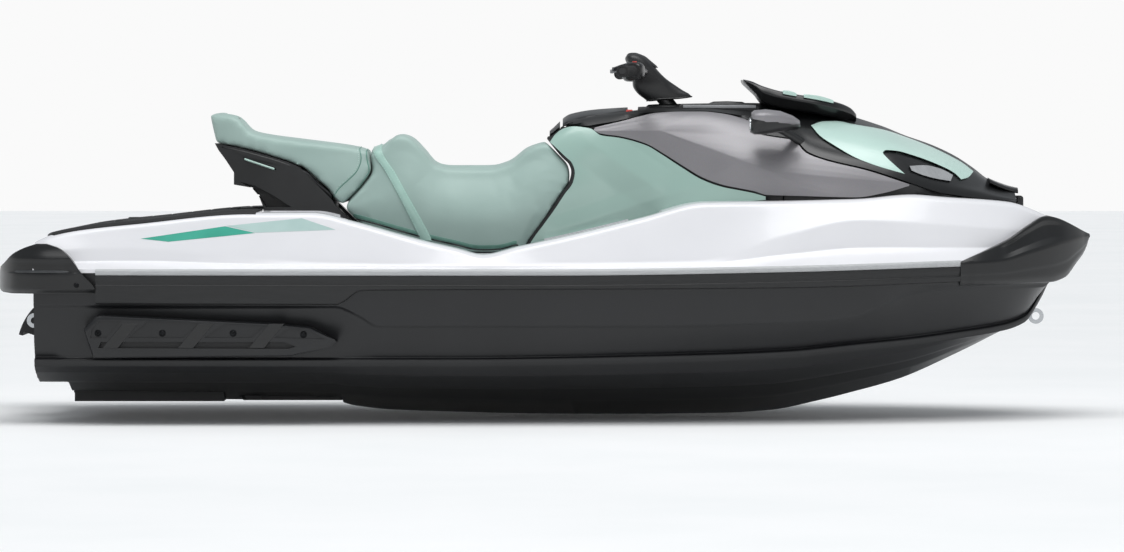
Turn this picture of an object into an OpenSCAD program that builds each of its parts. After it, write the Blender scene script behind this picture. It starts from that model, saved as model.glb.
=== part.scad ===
// Personal watercraft: a decked V hull with a jet pump, a straddle seat and a
// handlebar on a console. +X is the bow, +Y is port and +Z is up.
// Heights are given above the lowest point of the keel, and afloat() lowers
// everything by the draft, so that z = 0 is the waterline.

/* [Hull] */
// Width over the rub rails
beam = 1250; // [1150:10:1350]
// Forward end of the bow bumper
bow_x = 1654; // [1550:2:1750]
// Width over the chines
chine_beam = 1070; // [980:10:1110]
// Depth from the waterline to the keel, empty
draft = 230; // [200:5:260]
// Width of the tunnel that holds the jet pump
tunnel_w = 280; // [270:2:300]
// Height of the tunnel roof
tunnel_top = 330; // [310:5:350]

/* [Deck] */
// Height of the footwell floor
floor_z = 375; // [365:5:400]
// Thickness of the footwell tub
tub_t = 14; // [8:1:18]
// Inner side of the footwells, from the centreline
footwell_in = 216; // [214:2:230]
// Outer side of the footwells, from the centreline
footwell_out = 430; // [400:5:450]
// Top of the pedestal that carries the seat
pedestal_z = 500; // [490:1:502]
// Thickness of the deck mats
mat_t = 6; // [4:1:10]
// Diameter of the accessory anchor sockets in the rear deck
anchor_d = 38; // [30:2:46]

/* [Rail] */
// How far the rub rail stands out from the hull side
rail_t = 24; // [16:1:30]
// Height of the pale strip over the rub rail
strip_h = 14; // [10:1:16]

/* [Upper body] */
// Thickness of the moulded body panels
panel_t = 20; // [14:1:24]
// Gap round lids, hood and seat
gap = 6; // [5:1:8]
// How far the coloured hood panel stands proud
inlay_t = 4; // [3:1:5]
// Half width of the glovebox lid
glovebox_hw = 96; // [80:2:104]

/* [Steering] */
// Width over the handlebar grips
bar_w = 780; // [700:10:840]
// Diameter of the handlebar grips
grip_d = 34; // [30:1:38]
// Diameter of the handlebar tube
bar_d = 25; // [22:1:28]
// Diameter of the steering column
column_d = 44; // [38:1:50]

/* [Jet pump] */
// Height of the pump axis
pump_z = 192; // [190:1:200]
// Bore of the pump housing
pump_bore = 156; // [150:1:160]
// Wall of the pump housing
pump_wall = 12; // [9:1:14]
// Diameter of the drive shaft
shaft_d = 30; // [26:1:34]
// Gap between the impeller blades and the housing
tip_gap = 1; // [0.5:0.25:2]
// Inner radius of the reverse bucket about its hinge
bucket_r = 172; // [165:1:178]
// Wall of the reverse bucket
bucket_wall = 12; // [8:1:14]

/* [Fittings] */
// Bore of the bow eye
bow_eye_d = 24; // [18:1:28]
// Bore of the stern eyes
stern_eye_d = 20; // [16:1:24]
// Diameter of the eyes' rod
eye_rod = 12; // [10:1:14]

/* [Hidden] */

// Running clearance of a pin in its bore, on the radius
fit = 0.05;
// Gap under a piece that only rests on its neighbour
rest_gap = 0.3;
// Overshoot of a cut past the face that it opens
over = 10;
round_fn = 48;

// Stations: a boat longer in the bow is stretched ahead of the console
stretch_from = 400;
drawn_bow = 1654;
transom_x = -1540;
function fx(x) = x <= stretch_from ? x
    : stretch_from + (x - stretch_from) * (bow_x - stretch_from) / (drawn_bow - stretch_from);

// Half width at the rails: widest a little aft of amidships
wide_x = -300;
function swell(x, nose, n, p) = pow(max(0.0004, 1 - pow(max(0, x - wide_x) / (nose - wide_x), n)), p);
function stern_taper(x) = 1 - 0.09 * pow(max(0, wide_x - x) / 1300, 2);
function rail_y(x) = beam / 2 * stern_taper(x) * swell(x, drawn_bow + 6, 3.0, 0.6);
function chine_y(x) = chine_beam / 2 * (1 - 0.35 * (1 - stern_taper(x))) * swell(x, 1545, 2.3, 0.72);

// Heights along the boat
function keel_z(x) = lookup(x, [[-1540, 50], [-640, 40], [-610, 27], [-465, 12], [150, 0], [520, 3],
    [675, 12], [829, 43], [921, 66], [1075, 110], [1229, 178], [1383, 255], [1450, 292],
    [1500, 360], [1532, 418]]);
function chine_z(x) = max(keel_z(x) + 3, lookup(x, [[-1540, 185], [-300, 185], [400, 196], [705, 206],
    [921, 225], [1075, 238], [1229, 256], [1383, 277], [1450, 300]]));
function accent_z(x) = max(chine_z(x) + 6, lookup(x, [[-1540, 350], [-640, 350], [-510, 293], [305, 293],
    [705, 300], [921, 322], [1075, 385], [1400, 400], [1532, 430]]));
function seam_z(x) = lookup(x, [[-1540, 450], [0, 450], [705, 459], [1192, 471], [1532, 478]]);
function crease_z(x) = lookup(x, [[-1540, 512], [-1235, 530], [-680, 480], [-400, 476], [430, 498],
    [705, 600], [921, 636], [1150, 616], [1410, 590], [1525, 568]]);
function gunwale_z(x) = lookup(x, [[-1540, 540], [-1490, 570], [-1400, 584], [-1235, 598], [-900, 626],
    [-711, 628], [-588, 601], [-373, 542], [-203, 503], [-95, 527], [89, 567], [274, 613],
    [459, 658], [705, 662], [921, 668], [1087, 680], [1192, 672], [1389, 654], [1506, 616], [1525, 604]]);
function crease_in(x) = lookup(x, [[-1540, 30], [-1235, 58], [-680, 60], [430, 60], [705, 74],
    [921, 95], [1150, 80], [1410, 62], [1525, 42]]);
function gunwale_in(x) = lookup(x, [[-1540, 60], [-1235, 86], [-900, 100], [-203, 84], [400, 100],
    [705, 130], [921, 150], [1150, 130], [1410, 96], [1525, 66]]);

// A ring at one station from half of its outline, bottom centre to top centre
function ring(x, half) = let (n = len(half)) concat(
    [for (p = half) [fx(x), p[0], p[1]]],
    [for (i = [n - 2:-1:1]) [fx(x), -half[i][0], half[i][1]]]);

// A closed solid through rings that have as many points each
function ring_mean(r) = [r[0][0], 0, ([for (p = r) p[2]] * [for (p = r) 1]) / len(r)];
module loft(rings) {
    n = len(rings[0]);
    m = len(rings);
    points = concat([for (r = rings) each r], [ring_mean(rings[0]), ring_mean(rings[m - 1])]);
    sides = [for (i = [0:m - 2], j = [0:n - 1]) let (a = i * n + j, b = i * n + (j + 1) % n)
        each [[a, b + n, b], [a, a + n, b + n]]];
    caps = [for (j = [0:n - 1]) let (k = (j + 1) % n)
        each [[m * n, j, k], [m * n + 1, (m - 1) * n + k, (m - 1) * n + j]]];
    polyhedron(points, concat(sides, caps));
}

// A slab with its outline in the XZ plane, from one side of the boat to the other
module slab(outline, y0, y1) {
    translate([0, y1, 0]) rotate([90, 0, 0]) linear_extrude(y1 - y0)
        polygon([for (p = outline) [fx(p[0]), p[1]]]);
}

module both_sides() {
    children();
    mirror([0, 1, 0]) children();
}

module afloat() {
    translate([0, 0, -draft]) children();
}

// ---- Hull ----
// Hull, deck and rails share these stations, so that their sides meet face to face
side_stations = [-1352, -1235, -1100, -900, -711, -588, -510, -373, -203, -95, 0, 89, 274, 459, 705, 860,
    980, 1075, 1192, 1230];
hull_stations = concat([-1540, -1440], side_stations, [1310, 1383, 1450, 1500, 1530]);
function hull_half(x) = let (c = chine_y(x), k = keel_z(x), cz = chine_z(x), b = rail_y(x) - rail_t)
    [[0, k], [0.45 * c, k + 0.36 * (cz - k)], [0.93 * c, k + 0.78 * (cz - k)], [c, cz],
    [c + 0.72 * (b - c), accent_z(x)], [b, max(accent_z(x) + 12, seam_z(x) - 60)], [b, seam_z(x)], [0, seam_z(x)]];
module hull_form() {
    loft([for (x = hull_stations) ring(x, hull_half(x))]);
}

// Footwells: a tub that hangs from the deck into the hull
well_outline = [[-890, 660], [-790, floor_z + 40], [-720, floor_z], [230, floor_z], [330, floor_z + 70], [352, 700]];
well_aft = -905;
well_fore = 368;
module well_space() {
    both_sides() slab(well_outline, footwell_in, footwell_out);
}
module tub_space(grow = 0) {
    both_sides() translate([well_aft, footwell_in - tub_t, floor_z - tub_t])
        cube([well_fore - well_aft, footwell_out - footwell_in + 2 * tub_t, seam_z(0) - floor_z + tub_t + grow]);
}

// Engine bay under the seat
bay_aft = -560;
bay_fore = 140;
bay_hw = 165;
bay_z = 95;
module bay_space() {
    translate([bay_aft, -bay_hw, bay_z]) cube([bay_fore - bay_aft, 2 * bay_hw, seam_z(0) - bay_z + over]);
}
module bay_hatch() {
    translate([bay_aft, -bay_hw + tub_t, seam_z(0) - over])
        cube([hatch_fore - bay_aft, 2 * (bay_hw - tub_t), pedestal_z - seam_z(0) + 3 * over]);
}
hatch_fore = -110;

// Intake duct, pump tunnel and the notch under the transom
pump_front = -1000;
duct_aft = -900;
duct_fore = -640;
duct_hw = 74;
notch_x = -1457;
notch_z = 112;
module duct_space() {
    hull() {
        translate([duct_aft, -duct_hw, -over]) cube([duct_fore - duct_aft, 2 * duct_hw, 70]);
        translate([pump_front - 1, 0, pump_z]) rotate([0, 90, 0]) cylinder(d = pump_bore, h = 6, $fn = 32);
    }
}
module tunnel_space() {
    translate([transom_x - over, -tunnel_w / 2, -over])
        cube([pump_front - transom_x + over, tunnel_w, tunnel_top + over]);
}

module lower_hull() {
    color("#2c2d2f") afloat() difference() {
        hull_form();
        tub_space(over);
        bay_space();
        tunnel_space();
        duct_space();
        translate([pump_front, 0, pump_z]) rotate([0, 90, 0])
            cylinder(r = shaft_d / 2 + 5, h = bay_aft - pump_front + over, $fn = round_fn);
        translate([transom_x - over, -beam / 2, -over]) cube([notch_x - transom_x + over, beam, notch_z + over]);
        both_sides() translate([transom_x - over, 330, 150]) rotate([0, 90, 0])
            cylinder(d = plug_d, h = 40 + over, $fn = round_fn);
        translate([eye_x, 0, eye_z]) rotate([0, 90 + eye_tilt, 0]) translate([0, 0, -70])
            cylinder(d = eye_rod + 6, h = 100, $fn = round_fn);
        both_sides() translate([transom_x - over, stern_eye_y, stern_eye_z]) rotate([0, 90, 0])
            cylinder(d = eye_rod, h = 30 + over, $fn = round_fn);
    }
}

// ---- Deck ----
deck_stations = concat([-1540, -1490, -1400], side_stations, [1316, 1392, 1456, 1496, 1522]);
function deck_half(x) = let (y = rail_y(x), s = seam_z(x), g = gunwale_z(x))
    [[0, s], [y - 6, s], [y - 6, s + strip_h], [y - crease_in(x), max(s + strip_h + 2, crease_z(x))],
    [y - gunwale_in(x), g - 6], [y - gunwale_in(x) - 18, g], [0, g + 2]];
module deck_form() {
    loft([for (x = deck_stations) ring(x, deck_half(x))]);
}

well_top = 720;
seat_well_aft = -640;
seat_well_fore = -20;
module deck() {
    color("#f2f3f3") afloat() difference() {
        union() {
            deck_form();
            tub_space();
        }
        well_space();
        translate([seat_well_aft, -footwell_in, pedestal_z])
            cube([seat_well_fore - seat_well_aft, 2 * footwell_in, well_top - pedestal_z]);
        bay_hatch();
        body_form(0);
        both_sides() translate([anchor_x, anchor_y, 0]) cylinder(d = anchor_d + 16, h = well_top, $fn = round_fn);
    }
}

// Accessory anchors: two cups let into the rear deck
anchor_x = -1290;
anchor_y = 250;
anchor_deep = 40;
anchor_top = gunwale_z(anchor_x) + mat_t + 4;
module accessory_anchors() {
    color("#26272a") afloat() both_sides() translate([anchor_x, anchor_y, seam_z(0)]) difference() {
        cylinder(d = anchor_d + 16, h = anchor_top - seam_z(0), $fn = round_fn);
        translate([0, 0, anchor_top - seam_z(0) - anchor_deep]) cylinder(d = anchor_d, h = anchor_deep + 1, $fn = round_fn);
    }
}

// ---- Rails ----
function rail_low(x) = lookup(x, [[-1352, 356], [-634, 356], [-560, 396], [705, 404], [1230, 418]]);
function rail_ring(x) = let (y = rail_y(x), s = seam_z(x))
    [[fx(x), y - rail_t, rail_low(x)], [fx(x), y - 6, rail_low(x) + 10], [fx(x), y, s - 22], [fx(x), y, s - 7],
    [fx(x), y - rail_t, s - 7]];
function strip_ring(x) = let (y = rail_y(x), s = seam_z(x))
    [[fx(x), y - rail_t, s - 7], [fx(x), y - 2, s - 7], [fx(x), y + 1, s - 3], [fx(x), y + 1, s + strip_h - 8],
    [fx(x), y - 6, s + strip_h - 1], [fx(x), y - 6, s], [fx(x), y - rail_t, s]];
// A closed bar through rings that don't meet the centreline
module bar_loft(rings) {
    n = len(rings[0]);
    m = len(rings);
    sides = [for (i = [0:m - 2], j = [0:n - 1]) let (a = i * n + j, b = i * n + (j + 1) % n)
        each [[a, b + n, b], [a, a + n, b + n]]];
    caps = [for (j = [1:n - 2]) each [[0, j, j + 1], [(m - 1) * n, (m - 1) * n + j + 1, (m - 1) * n + j]]];
    polyhedron([for (r = rings) each r], concat(sides, caps));
}
module rub_rails() {
    color("#303133") afloat() both_sides() bar_loft([for (x = side_stations) rail_ring(x)]);
}
module rail_strips() {
    color("#b9bbbc") afloat() both_sides() bar_loft([for (x = side_stations) strip_ring(x)]);
}

// ---- Bumpers ----
cap_stations = [1230, 1300, 1383, 1445, 1506, 1560, 1610, 1640, 1654];
function cap_low(x) = lookup(x, [[1230, 407], [1520, 412], [1568, 425], [1608, 468], [1640, 506], [1654, 545]]);
function cap_top(x) = lookup(x, [[1230, 480], [1383, 545], [1445, 585], [1506, 613], [1654, 556]]);
function cap_edge(x) = lookup(x, [[1230, 470], [1352, 480], [1445, 500], [1568, 530], [1654, 550]]);
function cap_y(x) = rail_y(min(x, 1640)) + 6 - (x > 1640 ? 24 : 0);
function cap_half(x) = let (y = cap_y(x), l = cap_low(x), t = cap_top(x), e = cap_edge(x))
    [[0, l], [y - 26, l], [y - 4, l + 0.5 * (e - l)], [y, e], [y - 0.35 * (t - e) - 8, t], [0, t + 1]];
module bow_bumper() {
    color("#2e2f31") afloat() difference() {
        loft([for (x = cap_stations) ring(x, cap_half(x))]);
        hull_form();
        deck_form();
    }
}

corner_x = -1660;
function corner_plan(d) = let (y = rail_y(-1500))
    [[-1352, y - 70], [-1352, y + 14 - d], [-1500, y + 8 - d], [-1590, y - 34 - d], [-1638 + d, y - 110 - d],
    [corner_x + d, y - 220], [corner_x + d, 250 + d], [-1610, 215 + d], [transom_x, 215 + d]];
module corner_layer(z, d, back = 0) {
    translate([0, 0, z]) linear_extrude(1)
        polygon([for (p = corner_plan(d)) [max(p[0], corner_x + back), p[1]]]);
}
module stern_bumpers() {
    color("#2e2f31") afloat() difference() {
        both_sides() {
            hull() {
                corner_layer(388, 22, 20);
                corner_layer(404, 0);
                corner_layer(430, 0);
            }
            hull() {
                corner_layer(430, 0);
                corner_layer(476, 6, 20);
                corner_layer(520, 26, 98);
            }
        }
        hull_form();
        deck_form();
    }
}

// ---- Mats ----
module rear_mat() {
    color("#232426") afloat() difference() {
        intersection() {
            translate([0, 0, mat_t]) deck_form();
            linear_extrude(well_top) polygon([[-1500, -300], [-1440, -430], [-900, -470], [-900, -200],
                [-1000, -150], [-1000, 150], [-900, 200], [-900, 470], [-1440, 430], [-1500, 300]]);
        }
        deck_form();
        both_sides() translate([anchor_x, anchor_y, 0]) cylinder(d = anchor_d + 16, h = well_top, $fn = round_fn);
    }
}
module footwell_mats() {
    color("#232426") afloat() both_sides() translate([-700, footwell_in + 8, floor_z])
        cube([910, footwell_out - footwell_in - 16, mat_t]);
}

// ---- Upper body: one outer form, which the panels are cut from ----
body_stations = [-110, 0, 60, 150, 300, 450, 600, 700, 800, 900, 1013, 1090, 1167, 1240, 1300, 1345, 1400, 1432];
body_base = 480;
function crown_z(x) = lookup(x, [[-110, 800], [-30, 850], [0, 875], [60, 924], [150, 939], [300, 947],
    [450, 950], [600, 958], [700, 955], [860, 936], [1013, 893], [1090, 862], [1167, 835], [1240, 801],
    [1300, 762], [1345, 728], [1400, 704], [1432, 694]]);
function shoulder_z(x) = lookup(x, [[-110, 770], [-30, 830], [60, 884], [150, 905], [300, 928], [450, 932],
    [600, 905], [800, 872], [1013, 830], [1167, 775], [1300, 712], [1400, 678], [1432, 672]]);
function shoulder_y(x) = lookup(x, [[-110, 140], [0, 148], [150, 158], [300, 172], [450, 190], [600, 215],
    [800, 262], [1013, 252], [1167, 200], [1300, 132], [1400, 76], [1432, 50]]);
function waist_z(x) = lookup(x, [[-110, 640], [150, 770], [300, 800], [450, 790], [600, 780], [800, 765],
    [1013, 735], [1167, 700], [1300, 675], [1432, 662]]);
function waist_y(x) = lookup(x, [[-110, 192], [150, 190], [300, 216], [450, 262], [600, 318], [800, 366],
    [1013, 340], [1167, 286], [1300, 204], [1400, 136], [1432, 92]]);
function base_y(x) = lookup(x, [[-110, 204], [150, 212], [300, 238], [450, 284], [600, 342], [800, 388],
    [1013, 360], [1167, 304], [1300, 218], [1400, 146], [1432, 100]]);
function body_half(x, d) = [[0, body_base], [base_y(x) - d, body_base], [waist_y(x) - d, waist_z(x) - 0.3 * d],
    [shoulder_y(x) - 0.9 * d, shoulder_z(x) - 0.8 * d], [0.5 * shoulder_y(x), 0.35 * shoulder_z(x) + 0.65 * crown_z(x) - d],
    [0, crown_z(x) - d]];
module body_form(d) {
    loft([for (x = body_stations) ring(x, body_half(x, d))]);
}
seat_front_edge = [[-14, 846], [-10, 838], [36, 795], [58, 773], [66, 745], [60, 715], [36, 681],
    [5, 634], [-26, 591], [-66, 536], [-84, 500], [-84, 470]];
module behind_seat_edge(shift) {
    slab(concat([[-200, 1000], [-14 + shift, 1000]], [for (p = seat_front_edge) [p[0] + shift, p[1]]],
        [[-200, 470]]), -300, 300);
}

// Boundaries of the panels, seen from the side
mint_edge = [[-110, 852], [28, 875], [52, 884], [89, 884], [120, 880], [151, 858], [213, 849], [290, 827],
    [336, 800], [397, 760], [459, 723], [521, 701], [567, 692], [613, 683], [650, 671]];
hood_edge = [[612, 905], [640, 868], [736, 850], [776, 812], [832, 790], [955, 760], [1090, 716],
    [1195, 683], [1389, 662], [1440, 662]];
module above_hood_edge(shift) {
    slab(concat([[612 - shift, 1100]], [for (p = hood_edge) [p[0] - shift, p[1] - shift]],
        [[1440 + over, 662 - shift], [1440 + over, 1100]]), -beam / 2, beam / 2);
}
module side_covers() {
    color("#98b8ae") afloat() difference() {
        intersection() {
            body_form(0);
            slab(concat([[-110, body_base - over]], mint_edge, [[650, body_base - over]]), -beam / 2, beam / 2);
        }
        body_form(panel_t);
        behind_seat_edge(gap);
        console_top();
        translate([-200, -panel_keel, body_base - over]) cube([1000, 2 * panel_keel, 500]);
    }
}
// The panels stop this far from the centreline, where the console shows
panel_keel = 100;
console_top_fore = 606;
module console_top() {
    slab([[-200, 860], [120, 880], [420, 870], [600, 860], [console_top_fore, 850], [console_top_fore, 1100],
        [-200, 1100]], -panel_keel - 40, panel_keel + 40);
}
module console_panels() {
    color("#8b898c") afloat() difference() {
        body_form(0);
        body_form(panel_t);
        slab(concat([[-200, 0], [-200, 870]], mint_edge, [[650, 0]]), -beam / 2, beam / 2);
        above_hood_edge(gap);
        behind_seat_edge(gap);
        console_top();
        slab([[640, 0], [640, 676], [921, 660], [1087, 672], [1500, 640], [1500, 0]], -beam / 2, beam / 2);
    }
}

// Behind this line the upper body is console, and ahead of it is the front storage
module aft_block() {
    slab([[-300, 0], [-300, 1100], [700, 1100], [700, 672], [650, 671], [650, 0]], -beam / 2, beam / 2);
}

// Console: the inner moulding with the glovebox
glove_aft = 34;
glove_fore = 262;
glove_deep = 150;
module console() {
    color("#27282b") afloat() difference() {
        union() {
            intersection() {
                body_form(panel_t);
                aft_block();
            }
            intersection() {
                body_form(0);
                console_top();
            }
        }
        behind_seat_edge(gap);
        above_hood_edge(gap);
        translate([glove_aft - gap, -glovebox_hw - gap, glove_lid_z])
            cube([glove_fore - glove_aft + 2 * gap, 2 * (glovebox_hw + gap), 200]);
        translate([glove_aft + 52, -glovebox_hw + 14, glove_lid_z - glove_deep])
            cube([glove_fore - glove_aft - 78, 2 * glovebox_hw - 28, glove_deep + 1]);
        glove_hinge(fit);
        translate(column_foot) rotate([0, -column_tilt, 0]) translate([0, 0, -column_seat])
            cylinder(d = column_d + 2 * fit, h = 400, $fn = round_fn);
    }
}
// The glovebox lid shuts on a flat rim at this height
glove_lid_z = 880;
lid_hinge_x = glove_fore - 12;
lid_hinge_z = glove_lid_z + 16;
module glove_hinge(clear) {
    translate([lid_hinge_x, 0, lid_hinge_z]) rotate([90, 0, 0])
        cylinder(r = 5 + clear, h = 2 * (glovebox_hw + gap + 12), center = true, $fn = round_fn);
}
module glovebox_lid() {
    color("#2b2c2f") afloat() {
        difference() {
            intersection() {
                body_form(0);
                translate([glove_aft, -glovebox_hw, glove_lid_z + gap]) cube([glove_fore - glove_aft - 38, 2 * glovebox_hw, 200]);
            }
            translate([glove_aft + panel_t, -glovebox_hw + panel_t, glove_lid_z])
                cube([glove_fore - glove_aft - 84, 2 * (glovebox_hw - panel_t), 26]);
        }
        translate([lid_hinge_x, 0, lid_hinge_z]) rotate([90, 0, 0])
            cylinder(r = 9, h = 2 * glovebox_hw, center = true, $fn = round_fn);
        translate([lid_hinge_x - 30, -glovebox_hw, lid_hinge_z - 6]) cube([26, 2 * glovebox_hw, 14]);
        glove_hinge(0);
    }
}

// Gauge: a pod on the console ahead of the bars
module gauge() {
    color("#1e1f21") afloat() difference() {
        slab([[470, 925], [470, 962], [500, 974], [604, 968], [604, 925]], -95, 95);
        body_form(0);
    }
}

// Front storage: a tub with a ledge that the hood shuts on
bin_aft = 800;
bin_fore = 1130;
bin_hw = 200;
bin_z = 500;
module storage_bin() {
    color("#232427") afloat() difference() {
        union() {
            difference() {
                body_form(0);
                above_hood_edge(gap);
            }
            body_form(panel_t + gap + inlay_t);
        }
        body_cut_aft();
        slab([[bin_aft, bin_z], [bin_aft, 1100], [bin_fore, 1100], [bin_fore, bin_z]], -bin_hw, bin_hw);
        translate([hood_hinge_x - 42, 1 - ear_in, hood_hinge_z - 6]) cube([100, 2 * ear_in - 2, 60]);
    }
    color("#232427") afloat() difference() {
        both_sides() translate([hood_hinge_x - 6, ear_in, body_base + 100]) {
            cube([12, ear_w, hood_hinge_z - body_base - 100]);
            translate([6, 0, hood_hinge_z - body_base - 100]) rotate([-90, 0, 0]) cylinder(r = 9, h = ear_w, $fn = round_fn);
        }
        deck_form();
        hood_pin(fit);
    }
}
module body_cut_aft() {
    aft_block();
    difference() {
        slab([[640, 676], [640, 1100], [1500, 1100], [1500, 640], [1087, 672], [921, 660]], -beam / 2, beam / 2);
        body_form(panel_t);
    }
}

// ---- Hood ----
hood_hinge_x = fx(1442);
hood_hinge_z = 664;
ear_in = 28;
ear_w = 14;
module hood_pin(clear) {
    translate([hood_hinge_x, 0, hood_hinge_z]) rotate([90, 0, 0])
        cylinder(r = 5 + clear, h = 2 * (ear_in + ear_w + 2), center = true, $fn = round_fn);
}
module hood() {
    color("#27282a") afloat() difference() {
        intersection() {
            body_form(inlay_t);
            above_hood_edge(0);
        }
        body_form(panel_t);
    }
    color("#27282a") afloat() {
        translate([hood_hinge_x - 24, 2 - ear_in, hood_hinge_z + 2]) cube([24, 2 * ear_in - 4, 7]);
        translate([hood_hinge_x, 0, hood_hinge_z]) rotate([90, 0, 0])
            cylinder(r = 9, h = 2 * ear_in - 4, center = true, $fn = round_fn);
        hood_pin(0);
    }
}
mint_panel = [[785, 888], [829, 904], [921, 895], [1013, 880], [1090, 856], [1167, 826], [1229, 796],
    [1266, 776], [1297, 750], [1250, 722], [1229, 742], [1167, 773], [1075, 804], [1029, 816], [1004, 810],
    [1010, 800], [1044, 767], [1072, 742], [983, 766], [921, 790], [859, 826], [813, 857]];
vent_insert = [[1084, 762], [1150, 760], [1226, 735], [1215, 720], [1130, 740]];
module hood_panel() {
    color("#bfe0d4") afloat() difference() {
        intersection() {
            body_form(0);
            slab(mint_panel, -beam / 2, beam / 2);
        }
        body_form(inlay_t);
        deflector_form();
    }
}
module hood_vents() {
    color("#9a9b9d") afloat() difference() {
        intersection() {
            body_form(0);
            slab(vent_insert, -beam / 2, beam / 2);
        }
        body_form(inlay_t);
    }
}
deflector_stations = [590, 640, 700, 780, 860, 936];
function deflector_half(x) = let (t = lookup(x, [[590, 1030], [640, 1011], [700, 993], [830, 970], [936, 924]]),
    b = lookup(x, [[590, 1008], [640, 966], [700, 930], [936, 890]]),
    w = lookup(x, [[590, 150], [700, 190], [860, 150], [936, 70]]))
    [[0, b], [w, b], [w + 10, 0.5 * b + 0.5 * t], [w - 10, t - 4], [0, t]];
module deflector_form() {
    loft([for (x = deflector_stations) ring(x, deflector_half(x))]);
}
module deflector() {
    color("#232427") afloat() difference() {
        deflector_form();
        body_form(inlay_t);
    }
}

// ---- Mirrors ----
mirror_y = 350;
module mirrors() {
    color("#2a2b2d") afloat() difference() {
        both_sides() {
            hull() {
                translate([fx(655), mirror_y, 905]) scale([1, 1, 1]) sphere(r = 34, $fn = 24);
                translate([fx(640), mirror_y + 70, 900]) sphere(r = 34, $fn = 24);
                translate([fx(725), mirror_y + 20, 905]) sphere(r = 14, $fn = 16);
            }
            hull() {
                translate([fx(690), mirror_y - 10, 890]) sphere(r = 16, $fn = 16);
                translate([fx(765), mirror_y - 74, 832]) sphere(r = 16, $fn = 16);
            }
        }
        body_form(0);
    }
}

// ---- Saddle: one form for both seats ----
saddle_stations = [-1050, -995, -964, -912, -850, -773, -619, -551, -511, -474, -440, -419, -388, -351,
    -311, -188, -126, -65, -20, 70];
function saddle_top(x) = lookup(x, [[-1050, 931], [-995, 929], [-964, 922], [-912, 872], [-850, 860], [-773, 850],
    [-619, 830], [-551, 819], [-511, 832], [-474, 868], [-440, 867], [-419, 853], [-388, 819], [-351, 776],
    [-311, 767], [-188, 767], [-126, 782], [-65, 829], [-20, 846], [70, 852]]);
function saddle_ty(x) = lookup(x, [[-1050, 84], [-964, 128], [-850, 160], [-619, 158], [-474, 156], [-311, 124],
    [-126, 130], [70, 132]]);
function saddle_by(x) = lookup(x, [[-1050, 110], [-964, 156], [-850, 186], [-619, 200], [-311, 208], [70, 202]]);
function saddle_half(x) = let (t = saddle_top(x), a = saddle_ty(x), b = saddle_by(x), z = pedestal_z + rest_gap)
    [[0, z], [b, z], [b - 2, z + 0.35 * (t - z)], [0.35 * b + 0.65 * a + 8, z + 0.75 * (t - z)],
    [a, t - 26], [a - 26, t - 6], [0, t]];
module saddle_form() {
    loft([for (x = saddle_stations) ring(x, saddle_half(x))]);
}
seam_line = [[-551, 870], [-551, 788], [-542, 751], [-557, 727], [-588, 690], [-619, 659], [-636, 630]];
seat_floor = pedestal_z - over;
// The saddle lifts off along this line, at 45 degrees, so nothing of it stands behind the line
module behind_lift_line(shift) {
    slab([[-760, 766 - shift], [-400, 406 - shift], [-400, 400], [-760, 400]], -300, 300);
}
module driver_seat() {
    color("#a9c9bf") afloat() intersection() {
        saddle_form();
        difference() {
            slab(concat(seam_line, [[-636, seat_floor], [100, seat_floor], [100, 900]]), -300, 300);
            difference() {
                translate([-200, -300, 0]) cube([400, 600, 1100]);
                behind_seat_edge(0);
            }
            behind_lift_line(0);
        }
    }
}
seat_under = [[-1026, 835], [-958, 822], [-896, 807], [-804, 779], [-742, 752], [-711, 721], [-681, 699],
    [-648, 655]];
module passenger_seat() {
    color("#a9c9bf") afloat() difference() {
        intersection() {
            saddle_form();
            slab(concat([[-1060, 960], [-1060, 838]], seat_under, [[-648, 640], [-636, 630]],
                [for (i = [len(seam_line) - 2:-1:0]) seam_line[i]], [[-551, 960]]), -300, 300);
        }
        behind_lift_line(0);
        grip_space();
    }
}
module grip_space() {
    slab([[-1000, 960], [-985, 880], [-950, 880], [-950, 960]], -70, 70);
}
module tail_grip() {
    color("#232426") afloat() intersection() {
        saddle_form();
        grip_space();
    }
}
// A strap across the seat at the step between the two places
module seat_strap() {
    color("#8fada4") afloat() difference() {
        intersection() {
            translate([0, 0, 4]) scale([1, 1.03, 1]) saddle_form();
            slab([[-552, 900], [-545, 819], [-403, 548], [-367, 560], [-514, 819], [-518, 900]], -300, 300);
        }
        saddle_form();
        translate([-700, -300, 0]) cube([400, 600, pedestal_z + 20]);
    }
}
// Pedestal under the passenger seat
module seat_pedestal() {
    color("#252629") afloat() difference() {
        intersection() {
            saddle_form();
            slab(concat([for (p = seat_under) [p[0], p[1] - gap]], [[-648, 624], [-648, 560], [-870, 560], [-875, 638],
                [-890, 675], [-912, 699], [-967, 708], [-967, 745], [-992, 782], [-1016, 813]]), -300, 300);
        }
        deck_form();
        difference() {
            translate([-760, -300, 500]) cube([200, 600, 400]);
            behind_lift_line(8);
        }
        slab([[-939, 792], [-835, 758], [-835, 742], [-925, 765]], -300, 300);
    }
}

// ---- Sponsons ----
module sponsons() {
    color("#252628") afloat() difference() {
        both_sides() slab([[-1386, 283], [-1350, 322], [-1334, 326], [-1096, 314], [-835, 302], [-711, 290],
            [-634, 246], [-650, 228], [-773, 203], [-1358, 197]], 480, beam / 2 - 18);
        hull_form();
        both_sides() slab([[-1330, 226], [-1330, 244], [-800, 244], [-760, 226]], beam / 2 - 34, beam / 2);
    }
}

// ---- Eyes and plugs ----
eye_x = fx(1472);
eye_z = 318;
eye_tilt = 35;
module bow_eye() {
    color("#c8cacc") afloat() translate([eye_x, 0, eye_z]) rotate([0, 90 + eye_tilt, 0]) {
        translate([0, 0, bow_eye_d / 2 + eye_rod + 2]) ring_plate(bow_eye_d);
        translate([0, 0, -68]) cylinder(d = eye_rod + 6, h = 76, $fn = round_fn);
    }
}
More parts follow.
